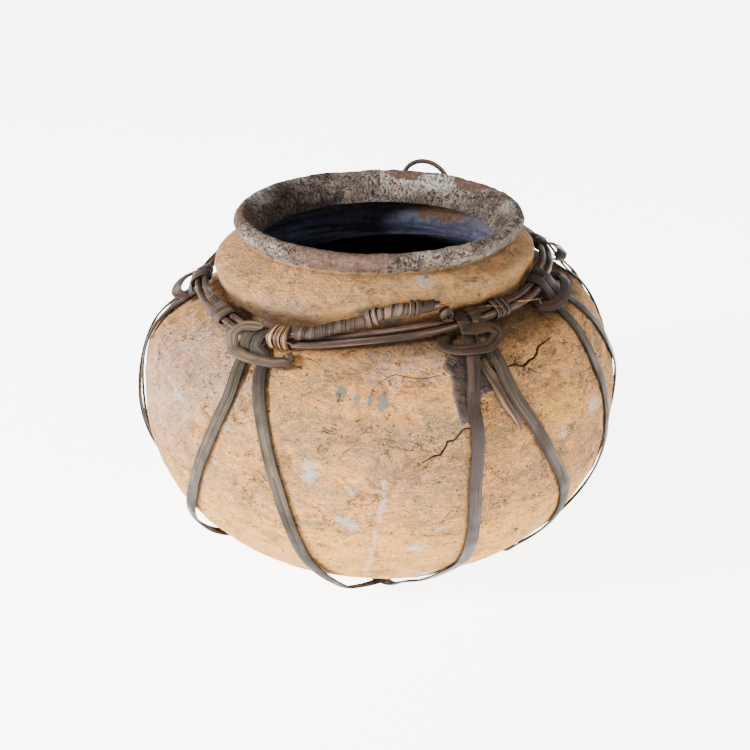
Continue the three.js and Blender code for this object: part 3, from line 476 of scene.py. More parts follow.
def lay_coats(tree, colour, coats):
    """Lays coats over a colour: where each lies, its strength from 0 to 1, and its hex or mixed colour."""
    for lies, strength, coat in coats:
        share = add_node(tree, "Math", {0: lies, 1: strength}, operation="MULTIPLY",
                         use_clamp=True).outputs[0]
        coat = from_hex(coat) if isinstance(coat, str) else coat
        colour = add_node(tree, "Mix", {0: share, 6: colour, 7: coat}, data_type="RGBA").outputs[2]
    return colour


terracotta, tree, shader = new_material("terracotta_low_fired", 0.92, 0.12)
where = add_node(tree, "TexCoord").outputs["Object"]


def clay_noise(scale_mm, detail=5, rough=0.6, stretch=(1, 1, 1), distortion=0, turn=0):
    """Noise with features of scale_mm, stretched and turned as the hand dragged the clay."""
    spread = add_node(tree, "Mapping", {0: where, 2: (0, math.radians(turn), 0),
                                        3: tuple(1000 / scale_mm / s for s in stretch)}).outputs[0]
    return add_node(tree, "TexNoise", {"Vector": spread, "Scale": 1, "Detail": detail, "Roughness": rough,
                                       "Distortion": distortion}).outputs[0]


def past(pattern, low, high):
    """Where a pattern is past a level: 0 at low, 1 at high and soft between them."""
    return add_node(tree, "MapRange", {0: pattern, 1: low, 2: high, 3: 0, 4: 1},
                    interpolation_type="SMOOTHSTEP").outputs[0]


def off_middle(pattern):
    """How far a noise is from its middle value, which it passes along thin meandering lines."""
    centred = add_node(tree, "Math", {0: pattern, 1: 0.5}, operation="SUBTRACT").outputs[0]
    return add_node(tree, "Math", {0: centred}, operation="ABSOLUTE").outputs[0]


def kept(name):
    """A value that the mesh keeps at its corners."""
    return add_node(tree, "Attribute", attribute_name=name).outputs["Fac"]


def washed(name, scale_mm, low=0.3, high=0.62, ragged=1):
    """Where a finish lies, with an edge that noise breaks, as the edges of soot and slip are."""
    edge = add_node(tree, "Math", {0: clay_noise(scale_mm, 6, 0.7), 1: 0.5}, operation="SUBTRACT").outputs[0]
    total = add_node(tree, "Math", {0: edge, 1: ragged, 2: kept(name)}, operation="MULTIPLY_ADD",
                     use_clamp=True).outputs[0]
    return past(total, low, high)


# Patterns of the clay in real sizes: patches and layers of 34 mm, grey slip of 15 mm, smears of 9 mm dragged
# down to the right, flakes of 7 mm, folds of 12 mm and creases of 5 mm, meandering scratches 4.5 mm apart,
# hair cracks 25 mm apart that come and go over 19 mm, dark specks of 2.6 mm and grit of 1.2 mm. The painted
# shade in the low parts of the flakes and creases comes and goes in clouds of 40 mm.
patches = clay_noise(34, 6, 0.62, (1.2, 1.2, 1))
layers = clay_noise(34, 9, 0.68, (1.6, 1.6, 0.75), 0.9, 30)
greys = clay_noise(15, 6, 0.65, (1.4, 1.4, 0.9), 0.5, 26)
smears = clay_noise(9, 6, 0.68, (1.9, 1.9, 0.8), 0.6, 28)
flaky = clay_noise(7, 8, 0.76, (1.3, 1.3, 0.85), 0.9, 25)
folds = clay_noise(12, 7, 0.62, (1.3, 1.3, 0.85), 0.9, 20)
creases = clay_noise(5, 6, 0.7, (1.3, 1.3, 0.85), 1.6, 24)
specks = clay_noise(2.6, 2, 0.5)
grit = clay_noise(1.2, 4, 0.75)
scratches = past(off_middle(clay_noise(4.5, 3, 0.55, (1.5, 1.5, 0.85), 1.2, 24)), 0.035, 0.0105)
hair_cracks = past(off_middle(clay_noise(25, 6, 0.66, (1.3, 1.3, 0.8), 1.2, 15)), 0.014, 0.004)
come_and_go = past(clay_noise(19, 3, 0.6, turn=60), 0.52, 0.56)
hair_cracks = add_node(tree, "Math", {0: hair_cracks, 1: come_and_go}, operation="MULTIPLY").outputs[0]
patchy_shade = past(clay_noise(40, 3, 0.55), 0.42, 0.58)
patchy_shade = add_node(tree, "Math", {0: patchy_shade, 1: 0.6}, operation="MULTIPLY").outputs[0]
colour = add_node(tree, "ValToRGB", {0: patches}, ramp=[
    (0.32, "#a37a46"), (0.7, "#e8aa64"), (0.43, "#be8d54"), (0.5, "#dc9f60"), (0.6, "#c19966")]).outputs[0]
# Painted highlights on the raised flakes, creases and grit, and painted shade in the low folds, flakes and
# creases, as the light would fall on the relief. The shade coat below is painted too.
colour = lay_coats(tree, colour, [
    (past(greys, 0.52, 0.57), 0.7, "#96805f"),
    (past(smears, 0.53, 0.59), 0.7, "#e8994c"),
    (past(smears, 0.46, 0.4), 0.65, "#7d6241"),
    (past(flaky, 0.51, 0.54), 0.65, "#f2a45c"),
    (past(flaky, 0.45, 0.42), patchy_shade, "#755637"),
    (washed("ochre", 22), 0.75, "#f2ae4e"),
    (washed("film", 16, 0.2, 0.75, 2), 0.6, "#bda091"),
    (washed("greyed", 20, 0.3, 0.8), 0.5, "#927a62"),
    (past(folds, 0.48, 0.38), 0.5, "#6c4e33"),
    (past(creases, 0.55, 0.62), 0.5, "#fbb96e"),
    (past(creases, 0.41, 0.34), patchy_shade, "#573a24"),
    (past(layers, 0.5, 0.44), 0.35, "#a07b55"),
    (scratches, 0.4, "#6f4c2c"),
    (past(grit, 0.58, 0.66), 0.6, "#ffcb88"),
    (past(grit, 0.4, 0.32), 0.75, "#3f2a1b"),
    (past(specks, 0.33, 0.29), 0.85, "#2a1a10"),
    (washed("drip", 3, 0.35, 0.85, 1.4), 0.75, "#d6ae99"),
    (washed("pale", 4, 0.25, 0.95, 3), 0.7, "#bcbfb6"),
    (washed("fleck", 3, 0.42, 0.6, 1.6), 0.85, "#70766f"),
    (hair_cracks, 0.85, "#2c1c12"),
    (washed("neck", 14, 0.1, 0.9), 0.45, "#8d7150"),
    (kept("shade"), 0.75, "#2b1c12"),
])

# The lip: soot in clouds of 12 mm under ash, brown and pale patches of 26, 9 and 2.5 mm, wrinkles that
# wander about 8 mm apart, on its front right a crackle with cells of 7 mm, and places that hands rubbed
# smooth, and it is darker down its inner flare. The inside is painted shade: blue-black in streaks 11 mm
# apart, lighter near the throat, with a brown patch at the back right.
wandering = off_middle(clay_noise(8, 3, 0.5, (0.8, 0.8, 1.4), 2.0))
cells_per_metre, cell_bend = 150, 0.9
crackle_at = add_node(tree, "Mapping", {0: where, 3: (cells_per_metre,) * 3}).outputs[0]
bent = add_node(tree, "TexNoise", {"Vector": crackle_at, "Scale": cell_bend, "Detail": 3}).outputs[1]
crackle_at = add_node(tree, "VectorMath", {0: crackle_at, 1: bent}, operation="ADD").outputs[0]
cells = add_node(tree, "TexVoronoi", {"Vector": crackle_at, "Scale": 1},
                 feature="DISTANCE_TO_EDGE").outputs[0]
dark_lines = add_node(tree, "Mix", {0: washed("crackled", 12, 0.4, 0.55), 2: past(wandering, 0.055, 0.012),
                                    3: past(cells, 0.07, 0)}).outputs[0]
rubbed = washed("rubbed", 8, 0.42, 0.5)
on_the_lip = washed("lip", 8, 0.35, 0.55)
skin = add_node(tree, "ValToRGB", {0: clay_noise(3, 5, 0.8)},
                ramp=[(0.3, "#3f3027"), (0.7, "#866a5b")]).outputs[0]
lip = add_node(tree, "ValToRGB", {0: clay_noise(12, 7, 0.72, (1.5, 1.5, 0.8))}, ramp=[
    (0.34, "#40362f"), (0.68, "#b3a69b"), (0.44, "#6a5b51"), (0.54, "#85766a")]).outputs[0]
lip = lay_coats(tree, lip, [
    (washed("ashy", 18, 0.25, 0.65, 1.6), 0.8, "#d2c7be"),
    (washed("darker_inner_flare", 14, 0.35, 0.65), 0.35, "#463c36"),
    (past(clay_noise(26, 4, 0.6), 0.52, 0.62), 0.5, "#a08872"),
    (past(clay_noise(9, 4, 0.6), 0.62, 0.68), 0.6, "#b07f5a"),
    (past(clay_noise(2.5, 3, 0.7), 0.57, 0.66), 0.4, "#cfc6bd"),
    (dark_lines, 0.9, "#231d1a"),
    (rubbed, 1, skin),
])
# Painted shade inside: blue-black, lighter near the throat, with a brown patch at the back right.
shaded_inside = add_node(tree, "ValToRGB", {0: clay_noise(11, 7, 0.72, (5, 5, 0.4))}, ramp=[
    (0.36, "#262939"), (0.66, "#666a7d"), (0.52, "#3d4154")]).outputs[0]
shaded_inside = lay_coats(tree, shaded_inside, [
    (washed("upper_inside", 9, 0.3, 0.7), 0.7, "#626573"),
    (washed("brown_inside_patch", 10, 0.4, 0.6), 1, "#5c4a3b"),
])
# Painted shade: near black in the cracks, and brown wherever the harness or the clay itself comes within 7
# mm.
shade_reach_mm = 7
shade_occlusion = add_node(tree, "AmbientOcclusion", {"Distance": shade_reach_mm * MM}, samples=6).outputs["AO"]
colour = lay_coats(tree, colour, [
    (on_the_lip, 1, lip),
    (kept("inside"), 1, shaded_inside),
    (past(kept("crack"), 0.4, 0.75), 1, "#17100c"),
    (past(shade_occlusion, 0.8, 0.35), 0.75, "#4a3627"),
])
tree.links.new(colour, shader.inputs["Base Color"])

# Relief of the clay: how many millimetres each pattern stands up or goes in. Where hands rubbed the lip it
# has no wrinkles.
unrubbed = add_node(tree, "Math", {0: 1, 1: rubbed}, operation="SUBTRACT").outputs[0]
unrubbed = add_node(tree, "Math", {0: on_the_lip, 1: unrubbed}, operation="MULTIPLY").outputs[0]
wrinkle_lines, wrinkle_sides = (
    add_node(tree, "Math", {0: pattern, 1: unrubbed}, operation="MULTIPLY").outputs[0]
    for pattern in (dark_lines, past(wandering, 0.2, 0)))
relief_mm = 0
for pattern, height_mm in (
        (past(greys, 0.52, 0.56), -0.5), (past(flaky, 0.5, 0.53), 0.35), (hair_cracks, -0.6),
        (past(smears, 0.4, 0.5), 0.5), (folds, 8), (creases, 6), (grit, 0.9), (scratches, -0.35),
        (past(layers, 0.49, 0.505), 0.9), (past(layers, 0.57, 0.58), 0.7), (wrinkle_lines, -0.5),
        (wrinkle_sides, -1.4)):
    relief_mm = add_node(tree, "Math", {0: pattern, 1: height_mm, 2: relief_mm},
                         operation="MULTIPLY_ADD").outputs[0]
bump = add_node(tree, "Bump", {"Height": relief_mm, "Distance": MM, "Strength": 1})
tree.links.new(bump.outputs[0], shader.inputs["Normal"])


def finish_piece(made, material, slot_name, body, *stood_for):
    """Gives a finished piece its material and its body, and hides the CAD parts that it stands for."""
    made.data.materials.clear()
    made.data.materials.append(material)
    pick(made)
    bpy.ops.object.shade_smooth_by_angle(angle=math.radians(50))
    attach(made, body)
    if stood_for:
        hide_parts(*stood_for)


finish_piece(pot, terracotta, "terracotta", "harnessed_pot", "clay_pot")
clay = BVHTree.FromObject(pot, bpy.context.evaluated_depsgraph_get())


def clear_of_clay(point, distance):
    """Moves a point in millimetres out along the clay's normal, until it has that distance."""
    place, normal, _, _ = clay.find_nearest(point * MM)
    gap = (point * MM - place).dot(normal) / MM
    return point if gap >= distance else place / MM + normal * distance


# Pitch mend: black pitch pressed over a break below the third knot. It has set hard and dull, in two
# lobes, and stands a little proud of the clay.
pick(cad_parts["pitch_mend"])
bpy.ops.object.duplicate()
mend = bpy.context.object
mend.name = "pitch_repair"
close_seams(mend, turn_out=False)
grain = mend.modifiers.new("even_faces", "REMESH")
grain.mode, grain.voxel_size = "VOXEL", 0.7 * MM
rounded = mend.modifiers.new("rounded", "SMOOTH")
rounded.factor, rounded.iterations = 0.5, 3
for modifier in ("even_faces", "rounded"):
    bpy.ops.object.modifier_apply(modifier=modifier)
lobe_top, lobe_stretch, least_proud = 170, 0.13, 0.3
for vertex in mend.data.vertices:
    point = vertex.co / MM
    if point.z < lobe_top:
        lower = point.z - lobe_stretch * (lobe_top - point.z)
        shrink = outside_radius(lower) / outside_radius(point.z)
        vertex.co = Vector((point.x * shrink, point.y * shrink, lower)) * MM
    proud = 0.9 + 0.6 * noise.fractal(point / 7, 1, 2, 3) + 0.2 * noise.noise(point / 1.8)
    vertex.co += vertex.normal * max(least_proud, proud) * MM

# The pitch is brown-black in clouds of 9 mm, dusty in specks of 4 mm, with a skin that is lumpy at 2.2 mm.
pitch, tree, shader = new_material("pitch_set_hard", 0.62, 0.4)
where = add_node(tree, "TexCoord").outputs["Object"]
tone = add_node(tree, "ValToRGB", {0: clay_noise(9, 6, 0.7)},
                ramp=[(0.3, "#100a06"), (0.75, "#4c3a2b"), (0.5, "#2a1e15")]).outputs[0]
tone = lay_coats(tree, tone, [(past(clay_noise(4, 4, 0.7), 0.6, 0.72), 0.25, "#a48a74")])
tree.links.new(tone, shader.inputs["Base Color"])
bump = add_node(tree, "Bump", {"Height": clay_noise(2.2, 5, 0.7), "Distance": 0.5 * MM, "Strength": 0.7})
tree.links.new(bump.outputs[0], shader.inputs["Normal"])
finish_piece(mend, pitch, "pitch", "harnessed_pot", "pitch_mend")


# Split cane and rattan: long straight fibres with a satin face, weathered grey-brown. The pattern
# follows each piece by its UV map, in metres along and across: fibres 0.6 mm wide and 60 mm long in
# bundles of 2.6 by 130 mm, and stains of 14 by 26 mm. Painted shade darkens the cane low on the pot,
# where other parts come near, along the edges of each strip and in its split.
def cane_material(name, dark, middle, light, roughness):
    material, tree, shader = new_material(name, roughness, 0.2)
    lay = add_node(tree, "UVMap", uv_map="lay").outputs[0]

    def fibres(length_mm, width_mm, detail):
        spread = add_node(tree, "Mapping", {0: lay, 3: (1000 / length_mm, 1000 / width_mm, 1)}).outputs[0]
        return add_node(tree, "TexNoise", {"Vector": spread, "Scale": 1, "Detail": detail,
                                           "Roughness": 0.6}, noise_dimensions="2D").outputs[0]

    def share_of(value, low, high, strength):
        """How far a coat covers the cane: not at low, and up to its strength at high."""
        if isinstance(value, str):
            value = add_node(tree, "Attribute", attribute_name=value).outputs["Fac"]
        return add_node(tree, "MapRange", {0: value, 1: low, 2: high, 3: 0, 4: strength}).outputs[0]

    stains = fibres(26, 14, 4)
    bark = share_of("bark", 0.3, 0.7, 0.85)
    shade_reach_mm, unshaded_height, fully_shaded_height = 4, 120 * MM, 50 * MM
    # Painted shade: the cane is darkened wherever other parts come within 4 mm.
    shade_occlusion = add_node(tree, "AmbientOcclusion", {"Distance": shade_reach_mm * MM}, samples=6).outputs["AO"]
    place = add_node(tree, "TexCoord").outputs["Object"]
    height = add_node(tree, "SeparateXYZ", {0: place}).outputs["Z"]
    grain = add_node(tree, "Mix", {0: 0.5, 2: fibres(130, 2.6, 3), 3: fibres(60, 0.6, 4)}).outputs[0]
    tone = add_node(tree, "ValToRGB", {0: grain},
                    ramp=[(0.38, dark), (0.62, light), (0.49, middle)]).outputs[0]
    tone = lay_coats(tree, tone, [
        (share_of(stains, 0.42, 0.66, 0.6), 1, dark),
        (share_of(shade_occlusion, 0.85, 0.35, 0.85), 1, "#100c0a"),
        # Painted shade along both edges of a strip.
        (share_of("edge", 0.7, 1, 0.55), 1, "#1d1612"),
        (share_of("soil", 0, 1, 0.5), 1, "#1d1612"),
        # Painted shade: the split is near black.
        (share_of("slit", 0.4, 1, 1), 1, "#050302"),
        (bark, 1, "#22140e"),
        # Painted shade: darker from 120 mm down to 50 mm above the floor.
        (share_of(height, unshaded_height, fully_shaded_height, 0.85), 1, "#15100b"),
    ])
    tree.links.new(tone, shader.inputs["Base Color"])
    bark_roughness = 0.3
    satin = add_node(tree, "MapRange", {0: stains, 1: 0.35, 2: 0.6, 3: roughness - 0.15,
                                        4: roughness + 0.15}).outputs[0]
    satin = add_node(tree, "Mix", {0: bark, 2: satin, 3: bark_roughness}).outputs[0]
    tree.links.new(satin, shader.inputs["Roughness"])
    bump = add_node(tree, "Bump", {"Height": grain, "Distance": 0.9 * MM, "Strength": 1})
    tree.links.new(bump.outputs[0], shader.inputs["Normal"])
    return material


# Cane goes from orange to brown to grey as it ages: the straps look oldest, the bindings are brown and dry,
# the hoop's rattan is darker, and the cut end, the joint wrap and the slivers are newest.
strap_cane = cane_material("split_cane_weathered", "#1c150e", "#372c20", "#514334", 0.65)
strap_cane_brown = cane_material("split_cane_brown", "#1a110b", "#352418", "#4f392a", 0.5)
band_cane = cane_material("split_cane_handled", "#20160f", "#46372a", "#6f5b47", 0.55)
hoop_rattan = cane_material("rattan_dark", "#130c08", "#3a271c", "#6c5240", 0.5)
binding_cane = cane_material("binding_cane_brown", "#150d08", "#36261b", "#66503e", 0.55)
cut_cane = cane_material("split_cane_cut", "#241810", "#503d2c", "#81664c", 0.55)
orange_cane = cane_material("split_cane_orange", "#1a0e07", "#422814", "#c07e3e", 0.5)
tan_cane = cane_material("split_cane_tan", "#150c07", "#4e3524", "#b98d60", 0.4)


def smooth_line(rows, step):
    """Even stations along a smooth line through rows of (point, normal, width factor)."""
    rows = [(row[0], row[1], row[2] if len(row) > 2 else 1) for row in rows]
    lengths = [0]
    for (p, _, _), (q, _, _) in zip(rows, rows[1:]):
        lengths.append(lengths[-1] + max(1e-6, (q - p).length))
    count = max(4, round(lengths[-1] / step))

    def slope(k):
        a, b = max(0, k - 1), min(len(rows) - 1, k + 1)
        return (rows[b][0] - rows[a][0]) / (lengths[b] - lengths[a])

    line, k = [], 0
    for n in range(count + 1):
        walked = lengths[-1] * n / count
        while k < len(rows) - 2 and walked > lengths[k + 1]:
            k += 1
        span = lengths[k + 1] - lengths[k]
        t = (walked - lengths[k]) / span
        weights = (2 * t ** 3 - 3 * t ** 2 + 1, (t ** 3 - 2 * t ** 2 + t) * span,
                   3 * t ** 2 - 2 * t ** 3, (t ** 3 - t ** 2) * span)
        point = rows[k][0] * weights[0] + slope(k) * weights[1]
        point += rows[k + 1][0] * weights[2] + slope(k + 1) * weights[3]
        normal = rows[k][1].lerp(rows[k + 1][1], t).normalized()
        line.append((point, normal, rows[k][2] + (rows[k + 1][2] - rows[k][2]) * t))
    return line


def axes_along(line):
    """The direction along, across and out at each station."""
    result = []
    for k, (_, normal, _) in enumerate(line):
        along = (line[min(len(line) - 1, k + 1)][0] - line[max(0, k - 1)][0]).normalized()
        across = normal.cross(along).normalized()
        result.append((along, across, along.cross(across)))
    return result


def map_lay(made, length, girth):
    """Writes the UV map "lay": metres along the piece and metres across or round it."""
    layer = made.data.uv_layers.active
    layer.name = "lay"
    flat = np.empty(len(layer.data) * 2, "f")
    layer.data.foreach_get("uv", flat)
    pairs = flat.reshape(-1, 2) * (length * MM, girth * MM) + (random.random(), random.random())
    layer.data.foreach_set("uv", pairs.astype("f").ravel())


def add_strip(name, rows, width, thickness, step=2.0, across_faces=6, crown=0.3, soiled=0, slit=(0, 0),
              bark=(0, 0)):
    """A strip of split cane bent along stations: flat inside, crowned outside, with slightly raised fibres.
    Its ends are soiled by handling over a length, it is split along its middle from one length to another,
    and it keeps its bark between two distances from its far end."""
    slit_depth, seating, worn_radius = 0.35, 0.22, 0.25
    line = smooth_line(rows, step)
    axes = axes_along(line)
    last = len(line) - 1
    shift = random.uniform(0, 90)

    def edge_shade_at(i, j):
        return abs(2 * j / across_faces - 1)

    def slit_at(i, j):
        return 2 * j == across_faces and slit[0] < i * step < slit[1]

    def soil_at(i, j):
        return smooth(2 - 2 * min(i, last - i) * step / soiled) if soiled else 0

    def bark_at(i, j):
        return bark[0] < (last - i) * step < bark[1]

    def place(i, j):
        point, _, factor = line[i]
        share = j / across_faces - 0.5
        swell = 1 + 0.05 * noise.noise(Vector((i * step / 35, shift, 0)))
        fibre = 0.045 * noise.noise(Vector((i * step / 16, j * 2.3, shift)))
        rise = thickness * (0.5 - crown * (2 * share) ** 2) - seating + fibre
        if slit_at(i, j):
            rise -= slit_depth
        return point + axes[i][1] * (width * factor * swell * share) + axes[i][2] * rise

    made = bent_grid(name, last, across_faces, place)
    map_lay(made, step * last, width)
    # The edges and the split are kept for the material's painted shade.
    for wash, value_at in (("edge", edge_shade_at), ("slit", slit_at), ("soil", soil_at), ("bark", bark_at)):
        values = [value_at(i, j) for j in range(across_faces + 1) for i in range(last + 1)]
        keep_at_corners(made, wash, values)
    thick = made.modifiers.new("thickness", "SOLIDIFY")
    thick.thickness, thick.offset = thickness * (1 - crown) * MM, -1
    soft = made.modifiers.new("worn_edges", "BEVEL")
    soft.width, soft.segments, soft.angle_limit = worn_radius * MM, 2, math.radians(50)
    bpy.ops.object.modifier_apply(modifier="thickness")
    bpy.ops.object.modifier_apply(modifier="worn_edges")
    return made


def add_cane(name, rows, width, thickness, step=3.0, sides=12, knobs=0.03, ends=0.75):
    """A whole cane bent along stations, with its ends cut and slightly rounded."""
    line = smooth_line(rows, step)
    axes = axes_along(line)
    shift = random.uniform(0, 90)
    last = len(line) - 1

    def place(i, j):
        angle = 2 * math.pi * j / sides
        point, _, factor = line[min(max(i - 1, 0), last)]
        _, across, out = axes[min(max(i - 1, 0), last)]
        size = factor * (1 + knobs * noise.noise(Vector((i * step / 14, shift, 0))))
        size *= 1 + 0.04 * noise.noise(Vector((i * step / 30, j * 1.9, shift)))
        if i in (0, last + 2):
            size = 0
        elif i in (1, last + 1):
            size *= ends
        point = point - across * (size * width / 2 * math.cos(angle))
        return point + out * (size * thickness / 2 * math.sin(angle))

    made = bent_grid(name, last + 2, sides, place)
    map_lay(made, step * last, math.pi * (width + thickness) / 2)
    close_seams(made)
    return made


# Hoop: one dark rattan cane wound twice round the neck just above the crease, where the knots hang
# from it. Its two turns lie side by side and change lane once, under the joint wrap. Radius and height of
# its middle every 10 degrees.
hoop_line = [
    (116.98, 199.71), (115.71, 201.35), (113.99, 202.51), (112.85, 204.06),
    (112.74, 205.20), (113.81, 205.89), (113.80, 208.25), (112.98, 211.35),
    (113.04, 213.44), (113.05, 213.87), (113.09, 213.88), (113.17, 214.86),
    (113.80, 215.75), (115.34, 216.72), (117.00, 217.25), (118.70, 216.58),
    (120.00, 215.48), (120.22, 214.58), (120.00, 213.52), (119.72, 212.17),
    (119.50, 210.56), (119.66, 208.62), (120.00, 206.50), (120.34, 204.52),
    (121.00, 201.99), (122.81, 197.57), (124.00, 193.54), (122.34, 192.23),
    (120.00, 192.04), (118.34, 192.24), (117.49, 192.59), (118.91, 192.42),
    (121.98, 192.14), (122.93, 192.84), (121.37, 194.72), (118.56, 197.45),
]
strand_width, strand_thickness, strand_spacing = 4.7, 4.2, 5.4
strand_slope = math.radians(26)


def between(values, place):
    """A smooth value between the entries of a list, at a place counted in entries."""
    i = min(int(place), len(values) - 2)
    b, c = values[i], values[i + 1]
    a = values[i - 1] if i else 2 * b - c
    d = values[i + 2] if i + 2 < len(values) else 2 * c - b
    t = place - i
    return b + t * ((c - a) / 2 + t * (a - 2.5 * b + 2 * c - d / 2 + t * ((d - a) / 2 + 1.5 * (b - c))))


hoop_ring = hoop_line[-1:] + hoop_line + hoop_line[:2]


def hoop_centre(azimuth):
    place = azimuth % 360 / 10 + 1
    radius, height = (between([row[part] for row in hoop_ring], place) for part in (0, 1))
    return polar(azimuth, radius, height)


def hoop_frame(azimuth):
    """The middle of the bundle, and the directions along it, across its two turns and up off them."""
    along = (hoop_centre(azimuth + 1) - hoop_centre(azimuth - 1)).normalized()
    across = polar(azimuth, math.cos(strand_slope), -math.sin(strand_slope))
    across = (across - along * across.dot(along)).normalized()
    return hoop_centre(azimuth), along, across, across.cross(along)


def at_hoop(azimuth, across_by, up_by):
    centre, _, across, up = hoop_frame(azimuth)
    return centre + across * across_by + up * up_by


def round_bundle(azimuth, angle, reach, rise, lift=0, shift=0):
    """A place on an oval turn round the bundle, at an angle from its outer side, and its normal."""
    centre, along, across, up = hoop_frame(azimuth)
    c, s = math.cos(angle), math.sin(angle)
    point = centre + across * (reach * math.copysign(abs(c) ** 0.75, c)) + along * shift
    point += up * (lift + rise * math.copysign(abs(s) ** 0.75, s))
    return point, (across * (c * rise) + up * (s * reach)).normalized()


lane_change, lane_half, end_gap, hoop_stations = -28.25, 4, 0.7, 240
hoop_rows = []
for k in range(hoop_stations + 1):
    turned = lane_change + lane_half + end_gap + (720 - 2 * (lane_half + end_gap)) * k / hoop_stations
    change = smooth((turned - (lane_change + 360 - lane_half)) / (2 * lane_half))
    hoop_rows.append((at_hoop(turned, strand_spacing * (change - 0.5), 0), hoop_frame(turned)[3]))
hoop = add_cane("hoop_rattan", hoop_rows, strand_width, strand_thickness)
finish_piece(hoop, hoop_rattan, "weathered_cane", "harnessed_pot", "hoop_cane")


# Cut end: the pointed end of a paler strip that hangs beside the third knot, held by its straps. It is
# laid first, since they cross over it.
strap_width, strap_thickness, crossing_gap = 8.5, 1.5, 0.4
strap_seat = 1.25
knot_azimuths = [-95, -37, 28, 65, 99, 136, 205]
laid = []

# Its route by azimuth from the knot and level on the belly, from its top to its point.
route = [(-1.6, 0.765), (-1.4, 0.72), (0.2, 0.65), (1.5, 0.57), (2.6, 0.49), (3.3, 0.39)]
cut_stations, widest = 20, 0.6
cut_rows = []
for k in range(cut_stations + 1):
    share = k / cut_stations
    turn, level = (between([row[part] for row in route], 5 * share) for part in (0, 1))
    point, normal = off_body(knot_azimuths[2] + turn, level, strap_seat)
    if share < widest:
        narrowing = 0.55 + 0.45 * smooth(share / widest)
    else:
        narrowing = 1 - 0.9 * ((share - widest) / (1 - widest)) ** 1.3
    cut_rows.append((point, normal, narrowing))
laid += [(point.copy(), normal) for point, normal, _ in cut_rows]
cut_strip = add_strip("cut_strip_end", cut_rows, 10, strap_thickness)
finish_piece(cut_strip, cut_cane, "pale_cane", "harnessed_pot", "cut_end")


# Straps: seven strips of split cane. Each leaves one knot, runs down the belly, under the base and up
# to the third knot further on, and is turned over the hoop at both ends. Later ones cross over earlier.
# Each leg is given at eight levels by its azimuth from its knot and by how far it stands off the clay.
leg_levels = [0.8, 0.62, 0.41, 0.07, -0.19, -0.43, -0.59, -0.73]
left_legs = [
    [-3, -1, 2, 7, 9, 8, 5, 1], [-0.9, 1.3, 0, -4.7, -10, -17.5, -23, -27],
    [-3.8, -6.8, -7, -7.7, -7.3, -6.6, -8, -16], [-2.5, -3, -2, 0.5, 1.5, -0.5, -4, -8],
    [-2, -2, -1.5, -1, 0, 0, -0.5, -1], [-3, -5, -6.5, -8, -9, -10, -12, -14],
    [-3, -5, -7, -10, -13, -16, -18, -21],
]
right_legs = [
    [4, 8, 12, 14.5, 14, 12.5, 11, 10], [5.2, 9, 12.2, 15.2, 17.6, 19.3, 22, 26],
    [1.6, 2.6, 6.5, 13, 18.8, 22.3, 22, 20], [7, 10.5, 14, 19, 22, 24, 25, 26], [3, 6, 8, 10, 12, 14, 14, 13],
    [3, 5.5, 8, 11, 14, 16, 18, 20], [3, 5, 7, 10, 13, 17, 21, 25],
]
tight = [0] * 8
left_slack = [[0, 0, 1.5, 4.5, 5, 4, 2, 0.5], [0, 0, 0, 0, 0.5, 3.5, 4.5, 2.5], [0, 0, 0, 0, 0, 0, 0, 1]]
left_slack += [tight] * 4
right_slack = [tight, [0, 0, 0, 0, 0, 0.5, 2, 5]] + [tight] * 5
turn_reach, turn_rise = 6.55, 3.6


def strap_turn(azimuth, side):
    shift = side * (strap_width / 2 + 0.3)
    rows = [round_bundle(azimuth, math.radians(angle), turn_reach, turn_rise, 0, shift)
            for angle in (285, 250, 215, 190, 165, 135, 105, 75, 50)]
    centre, along, across, up = hoop_frame(azimuth)
    leaving = centre + across * (turn_reach + 2.6) + up * (turn_rise * 0.2) + along * (shift * 1.1)
    return rows + [(clear_of_clay(leaving, strap_seat + 1), up.lerp(across, 0.35).normalized())]


def strap_leg(knot, offsets, slack):
    """Rows of point, normal and distance from the clay, from the shoulder down."""
    rows = []
    for k in range(19):
        place = 7 * k / 18
        away = strap_seat + max(0, between(slack, place))
        azimuth = knot_azimuths[knot] + between(offsets, place)
        rows.append((*off_body(azimuth, between(leg_levels, place), away), away))
    return rows


def off_underside(place, away):
    radius = math.hypot(place.x, place.y)
    slope = underside_height(radius + 0.5) - underside_height(radius - 0.5)
    normal = Vector((slope * place.x / radius, slope * place.y / radius, -1)).normalized()
    return Vector((place.x, place.y, underside_height(radius))) + normal * away, normal, away


def strap_under(from_azimuth, to_azimuth, from_slack, to_slack):
    """Straight from leg to leg under the base, bowed only where the foot is in the way."""
    start, end = (polar(azimuth, body_radius(leg_levels[-1]), 0) for azimuth in (from_azimuth, to_azimuth))
    middle = (start + end) / 2
    bow = max(0, foot_radius + foot_edge + 0.6 + strap_width / 2 - middle.length)
    count = round((end - start).length / 7.5)
    rows = []
    for k in range(1, count):
        share = k / count
        place = start.lerp(end, share) + middle.normalized() * (bow * (1 - (2 * share - 1) ** 2) ** 1.5)
        away = strap_seat + from_slack * max(0, 1 - share * 4) + to_slack * max(0, share * 4 - 3)
        rows.append(off_underside(place, away))
    return rows


def ease_corner(rows, first, last):
    """Rounds the corner where a leg runs on into its chord under the base."""
    def on_clay(k):
        return rows[k][0] - rows[k][1] * rows[k][2]

    for _ in range(8):
        for k in range(first, last + 1):
            place = on_clay(k) / 2 + (on_clay(k - 1) + on_clay(k + 1)) / 4
            rows[k] = off_underside(place, rows[k][2])


def lay_over(rows):
    """Lifts rows that would lie in a strip laid before."""
    reach, ramp = strap_width + 2.5, 9
    lifted = []
    for point, normal, _ in rows:
        lift = 0
        for other, other_normal in laid:
            gap = point - other
            if gap.length > 30:
                continue
            height = gap.dot(other_normal)
            away = (gap - other_normal * height).length
            if away < reach + ramp and abs(height) < 12:
                needed = strap_thickness + crossing_gap - height
                lift = max(lift, smooth(1 - (away - reach) / ramp) * needed)
        lifted.append((point + normal * lift, normal))
    return lifted


